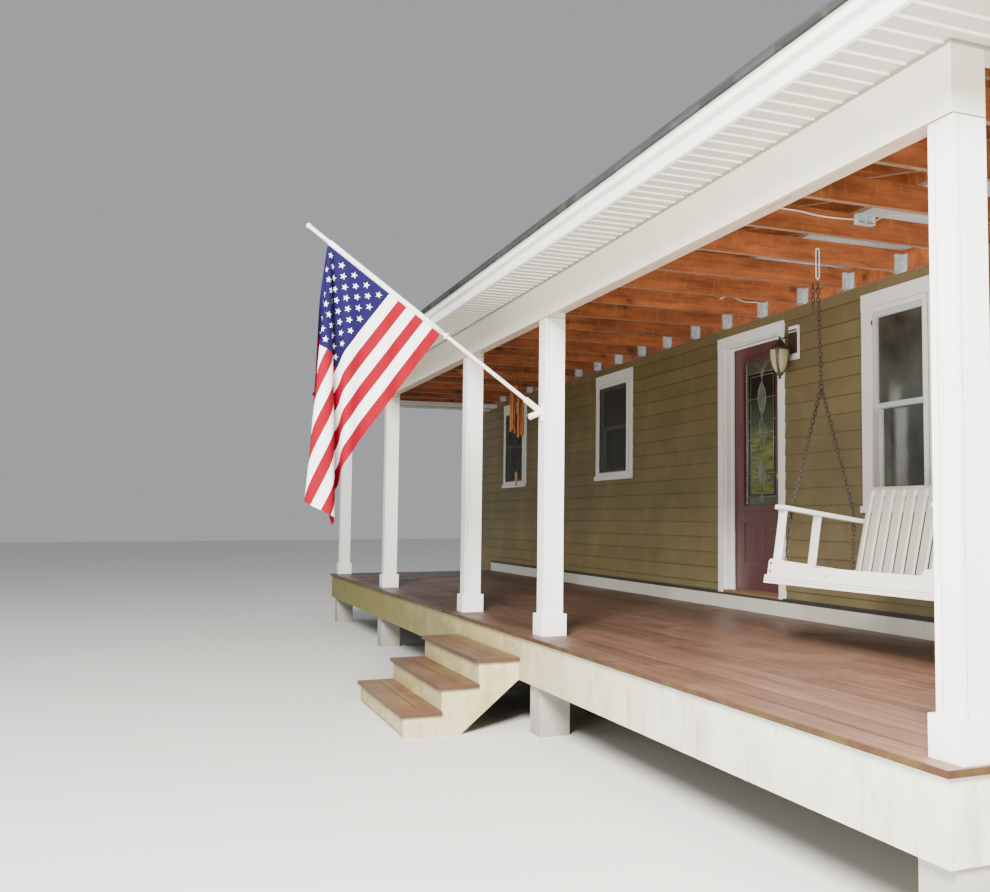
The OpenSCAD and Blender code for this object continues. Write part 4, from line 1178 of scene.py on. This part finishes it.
class PORCH_OT_ceiling(bpy.types.Operator):
    """Add the electrical boxes, their cables, and the hangers' toothed side plates"""

    bl_idname = "porch.ceiling"
    bl_label = "Ceiling fittings"

    joist_half = 0.019
    # Lowest and highest Y and Z of the box's walls, top, foot and middle plate
    walls = (
        (-0.905, -0.785, 3.068, 3.073), (-0.905, -0.785, 3.120, 3.125),
        (-0.905, -0.900, 3.073, 3.120), (-0.790, -0.785, 3.073, 3.120),
        (-0.848, -0.842, 3.073, 3.120),
    )
    # Cables, each by the number of its joist and its places along the joist's side
    cables = (
        (4, ((-1.98, 3.095), (-1.70, 3.112), (-1.372, 3.105), (-1.269, 3.103), (-1.151, 3.092),
             (-1.02, 3.092), (-0.905, 3.098))),
        (4, ((-0.785, 3.090), (-0.757, 3.106), (-0.70, 3.138), (-0.60, 3.16), (-0.42, 3.165),
             (-0.20, 3.16))),
        (8, ((-0.52, 3.10), (-0.439, 3.128), (-0.367, 3.112), (-0.296, 3.094), (-0.187, 3.10))),
        (12, ((-1.05, 3.29), (-0.906, 3.27), (-0.69, 3.255), (-0.491, 3.30))),
        (16, ((-1.20, 3.27), (-1.042, 3.224), (-0.864, 3.205), (-0.672, 3.247), (-0.50, 3.29))),
    )
    # Joists in hangers, teeth on a plate, and width and corner radius of a flange
    last_joist = 20
    teeth = 7
    flange_width = 0.052
    corner = 0.022

    def side(self, number):
        return FIRST_JOIST - number * JOIST_PITCH + self.joist_half

    def execute(self, context):
        boxes = Shape()
        x = self.side(self.cables[0][0])
        for y0, y1, z0, z1 in self.walls:
            boxes.box((x, y0, z0), (x + 0.042, y1, z1))
        boxes.box((x, -0.900, 3.073), (x + 0.003, -0.790, 3.120))
        boxes.make("ceiling_box", "box_steel", "porch", "galvanised", bevel=0.001)

        runs = Shape()
        for number, places in self.cables:
            x = self.side(number) + 0.005
            runs.tube(catmull([Vector((x, y, z)) for y, z in places]), 0.0048, 8)
        runs.make("ceiling_cables", "cable", "porch", "white_metal", smooth=True)

        # Toothed plates on both sides of each hanger, over the joist's end
        plates = Shape()
        low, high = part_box("joist_hangers")
        start, foot, head = low.y, low.z, high.z
        step = (head - foot) / self.teeth
        line = [(start + 0.012, foot)]
        for i in range(self.teeth):
            line += [(start - 0.016, foot + (i + 0.3) * step),
                     (start - 0.004, foot + (i + 0.7) * step)]
        line.append((start + 0.012, head))
        # The flange on the ledger, with its lower corner cut round
        r = self.corner
        flange = [(0.0, foot)]
        flange += [(self.flange_width - r * (1 - cos(a)), foot + r * (1 - sin(a)))
                   for a in np.linspace(pi / 2, 0, 5)]
        flange += [(self.flange_width, head), (0.0, head)]
        front = high.y - 0.004
        for number in range(1, self.last_joist + 1):
            middle = FIRST_JOIST - number * JOIST_PITCH
            for s in (-1, 1):
                x = middle + s * (self.joist_half + 0.0022)
                plates.prism(line[::-s], lambda y, z, t, x=x: (x + t, y, z), 0.0, s * 0.0015)
                x = middle + s * self.joist_half
                plates.prism(flange[::s], lambda a, z, t, x=x, s=s: (x + s * a, t, z),
                             front + 0.0015, front)
        plates.make("hanger_plates", "galvanised", "porch", "galvanised")
        return {"FINISHED"}


class PORCH_OT_lantern(bpy.types.Operator):
    """Add the lantern's paired straps, and the slot of its block"""

    bl_idname = "porch.lantern"
    bl_label = "Lantern fittings"

    # Height of the glass's middle above its foot, and along its outline the radius as a part of the
    # top diameter, and the height from the middle
    middle = 0.112
    outline = ((0.17, -0.112), (0.28, -0.092), (0.38, -0.060), (0.45, -0.020), (0.49, 0.020),
               (0.50, 0.060))
    strap = 0.0035
    # Angle between each strap and the middle of its pair
    apart = 0.13

    def execute(self, context):
        low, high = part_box("lantern_glass")
        centre = (low + high) / 2
        across = high.x - low.x
        straps = Shape()
        for quarter in range(4):
            for turn in (-self.apart, self.apart):
                a = pi / 4 + quarter * pi / 2 + turn
                path = []
                for part, height in self.outline:
                    r = part * across + 0.003
                    z = low.z + self.middle + height
                    path.append((centre.x + r * cos(a), centre.y + r * sin(a), z))
                straps.tube(path, self.strap, 6)
        straps.make("lantern_straps", "bronze", "porch", "bronze", smooth=True)
        low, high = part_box("lantern_block")
        slot = Shape()
        slot.box((low.x + 0.004, low.y - 0.0006, high.z - 0.040),
                 (high.x - 0.012, low.y, high.z - 0.026))
        slot.make("lantern_slot", "seam", "porch", "trim_paint")
        return {"FINISHED"}


class PORCH_OT_posts(bpy.types.Operator):
    """Add the seams of the posts' boards"""

    bl_idname = "porch.posts"
    bl_label = "Post seams"

    # How far a plinth stands out from its post, and its height
    plinth = 0.019
    plinth_top = 0.14
    # Distance of the front seam and of the side seam from the post's corner
    front_seam = 0.036
    side_seam = 0.019

    def execute(self, context):
        seams = Shape()
        for name in ("post_1", "post_2", "post_3", "post_4", "post_5"):
            low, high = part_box(name)
            x0, y0 = low.x + self.plinth, low.y + self.plinth
            x1, y1 = high.x - self.plinth, high.y - self.plinth
            top, foot = high.z, low.z + self.plinth_top
            x, y = x0 + self.front_seam, y0 + self.side_seam
            seams.box((x, y0 - 0.0004, foot), (x + 0.0016, y0 + 0.001, top))
            seams.box((x1 - 0.001, y, foot), (x1 + 0.0004, y + 0.0014, top))
            # Open joint under the beam, a dark band that is also the painted shadow under the
            # beam's edge
            seams.box((x0 - 0.0006, y0 - 0.0006, top - 0.003), (x1 + 0.0006, y1 + 0.0006, top))
        seams.make("post_seams", "seam", "porch", "trim_paint")
        return {"FINISHED"}


class PORCH_OT_flag(bpy.types.Operator):
    """Hang the flag from its pole as cloth, with its sleeve and clip"""

    bl_idname = "porch.flag"
    bl_label = "Flag"

    angle = radians(36)
    along = Vector((0, -cos(angle), sin(angle)))
    down = Vector((0, -sin(angle), -cos(angle)))
    # Radius of the ball at the pole's tip, and the bare pole below it
    ball = 0.017
    tip_gap = 0.15
    sleeve = 0.017
    nylon = {
        "quality": 8, "mass": 0.18, "air_damping": 1.4, "tension_stiffness": 30,
        "compression_stiffness": 30, "shear_stiffness": 5, "bending_stiffness": 0.08,
        "tension_damping": 12, "compression_damping": 12, "shear_damping": 12,
        "bending_damping": 0.8, "vertex_group_mass": "hoist",
    }

    def execute(self, context):
        scene = context.scene
        look = scene.porch_flag
        pole_low, pole_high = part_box("flag_pole")
        x = (pole_low.x + pole_high.x) / 2
        ball = Vector((x, pole_low.y + self.ball, pole_high.z - self.ball))
        tip = ball - self.along * self.tip_gap
        cols, rows = round(look.fly / look.cell), round(look.hoist / look.cell)
        verts = []
        for j in range(rows + 1):
            h = j / rows
            edge = tip - self.along * look.hoist * (1 - h)
            for i in range(cols + 1):
                t = i / cols
                p = edge + self.down * self.sleeve + self.down * look.fly * t
                p.x += (0.030 * sin(9.0 * t + 2.2 * j / rows) * t ** 0.5
                        + 0.012 * sin(23 * t - 5 * j / rows) * t)
                verts.append(p)
        corners = [j * (cols + 1) + i for j in range(rows) for i in range(cols)]
        faces = [(a, a + 1, a + cols + 2, a + cols + 1) for a in corners]
        cloth = new_piece("flag_cloth", verts, faces, KIT["flag_cloth"])
        layer = cloth.data.uv_layers.new(name="cloth")
        for loop in cloth.data.loops:
            j, i = divmod(loop.vertex_index, cols + 1)
            layer.data[loop.index].uv = (i / cols, j / rows)
        pins = cloth.vertex_groups.new(name="hoist")
        pins.add([j * (cols + 1) for j in range(rows + 1)], 1.0, "REPLACE")
        self.simulate(cloth, scene, look.frames)
        smooth = cloth.modifiers.new("Smooth", "SUBSURF")
        smooth.levels = smooth.render_levels = 1
        apply_modifiers(cloth)
        shade_smooth(cloth)
        # No fold passes the room that the box leaves in front of the pole's tip
        limit = pole_low.y - 0.10
        for v in cloth.data.vertices:
            if v.co.y < limit:
                v.co.y = limit + (v.co.y - limit) * 0.1
        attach(cloth, "porch")
        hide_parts("flag")

        tube = Shape()
        bottom = tip - self.along * look.hoist
        tube.tube([bottom + (tip - bottom) * t for t in np.linspace(0, 1, 9)], self.sleeve, 14)
        tube.make("flag_sleeve", "canvas", "porch", "flag_cloth", smooth=True)
        clip = Shape()
        ring = bottom - self.along * 0.035
        clip.tube([ring + 0.018 * (cos(a) * SIDE + sin(a) * self.down) for a in circle(16)],
                  0.006, 8, closed=True)
        clip.make("flag_clip", "white_metal", "porch", "white_metal", smooth=True)
        return {"FINISHED"}

    def simulate(self, cloth, scene, frames):
        modifier = cloth.modifiers.new("Cloth", "CLOTH")
        for name, value in self.nylon.items():
            setattr(modifier.settings, name, value)
        modifier.collision_settings.use_collision = False
        modifier.collision_settings.use_self_collision = True
        modifier.collision_settings.self_distance_min = 0.006
        modifier.point_cache.frame_start = 1
        modifier.point_cache.frame_end = frames
        for number in range(1, frames + 1):
            scene.frame_set(number)
        apply_modifiers(cloth)
        scene.frame_set(1)


class PORCH_OT_stage(bpy.types.Operator):
    """Set the floor, the lights and the camera"""

    bl_idname = "porch.stage"
    bl_label = "Stage"

    reach = 60
    # Place, target, size and colour of each light
    lights = {
        "key": ((13, -8, 8), (5, -1.6, 1.4), 4.5, (1.0, 0.97, 0.92)),
        "fill": ((-4, -17, 8), (0, -1.5, 1.5), 9.0, (0.93, 0.96, 1.0)),
        "bounce": ((7.5, -6.5, 1.15), (7.0, -4.2, 4.15), 3.5, (1.0, 0.95, 0.86)),
    }
    lens = {"sensor_width": 36.0, "lens": 40.775, "shift_x": -0.1943, "shift_y": -0.0079,
            "clip_end": 200}
    eye = (9.262, -4.495, 1.400)
    right = Vector((0.43078, 0.90246, 0.00033))
    up = Vector((0.06245, -0.03018, 0.99759))

    def execute(self, context):
        scene = context.scene
        look = scene.porch_stage
        f = Finish("floor", (0.72, 0.71, 0.68), 0.85)
        f.vary(f.noise(0.4, 4), 0.96, 1.03)
        r = self.reach
        ends = [(-r, -r, 0), (r, -r, 0), (r, r, 0), (-r, r, 0)]
        new_piece("floor", ends, [(0, 1, 2, 3)], f.done())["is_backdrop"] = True

        scene.world = bpy.data.worlds.new("Studio")
        scene.world.use_nodes = True
        sky = scene.world.node_tree.nodes["Background"].inputs
        sky["Color"].default_value = (0.93, 0.96, 1.0, 1)
        sky["Strength"].default_value = look.sky
        for name, light in self.lights.items():
            self.area(scene, name, getattr(look, name), *light)

        data = bpy.data.cameras.new("camera")
        for name, value in self.lens.items():
            setattr(data, name, value)
        camera = bpy.data.objects.new("camera", data)
        scene.collection.objects.link(camera)
        back = self.right.cross(self.up).normalized()
        up = back.cross(self.right).normalized()
        turn = Matrix((self.right.normalized(), up, back)).transposed().to_4x4()
        camera.matrix_world = Matrix.Translation(self.eye) @ turn
        scene.camera = camera
        return {"FINISHED"}

    def area(self, scene, name, power, place, target, size, tone):
        data = bpy.data.lights.new(name, "AREA")
        data.shape = "DISK"
        data.size = size
        data.energy = power
        data.color = tone
        lamp = bpy.data.objects.new(name, data)
        scene.collection.objects.link(lamp)
        lamp.location = place
        aim = Vector(target) - Vector(place)
        lamp.rotation_mode = "QUATERNION"
        lamp.rotation_quaternion = aim.to_track_quat("-Z", "Y")


class PORCH_PT_panel(bpy.types.Panel):
    """Sidebar panel with the porch's settings and operators"""

    bl_idname = "PORCH_PT_panel"
    bl_label = "Porch"
    bl_space_type = "VIEW_3D"
    bl_region_type = "UI"
    bl_category = "Porch"

    def draw(self, context):
        for group in GROUPS:
            box = self.layout.box()
            settings = getattr(context.scene, group)
            for name in settings.__annotations__:
                box.prop(settings, name)
        for operator in STEPS:
            self.layout.operator(operator.bl_idname)


GROUPS = {
    "porch_paint": PorchPaint,
    "porch_flag": PorchFlag,
    "porch_chain": PorchChain,
    "porch_stage": PorchStage,
}
STEPS = (
    PORCH_OT_finishes,
    PORCH_OT_stage,
    PORCH_OT_soffit,
    PORCH_OT_chain,
    PORCH_OT_leading,
    PORCH_OT_windows,
    PORCH_OT_ceiling,
    PORCH_OT_lantern,
    PORCH_OT_posts,
    PORCH_OT_flag,
)


def register():
    for name, group in GROUPS.items():
        bpy.utils.register_class(group)
        setattr(bpy.types.Scene, name, PointerProperty(type=group))
    for kind in (*STEPS, PORCH_PT_panel):
        bpy.utils.register_class(kind)


def unregister():
    for kind in (PORCH_PT_panel, *reversed(STEPS)):
        bpy.utils.unregister_class(kind)
    for name, group in reversed(GROUPS.items()):
        delattr(bpy.types.Scene, name)
        bpy.utils.unregister_class(group)


def corners(bounds):
    return [list(map(float, corner)) for corner in bounds]


def main():
    register()
    sizes = {"cad": corners(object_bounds())}
    for step in STEPS:
        group, name = step.bl_idname.split(".")
        getattr(getattr(bpy.ops, group), name)()
    sizes["visual"] = corners(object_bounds())


if __name__ == "__main__":
    main()
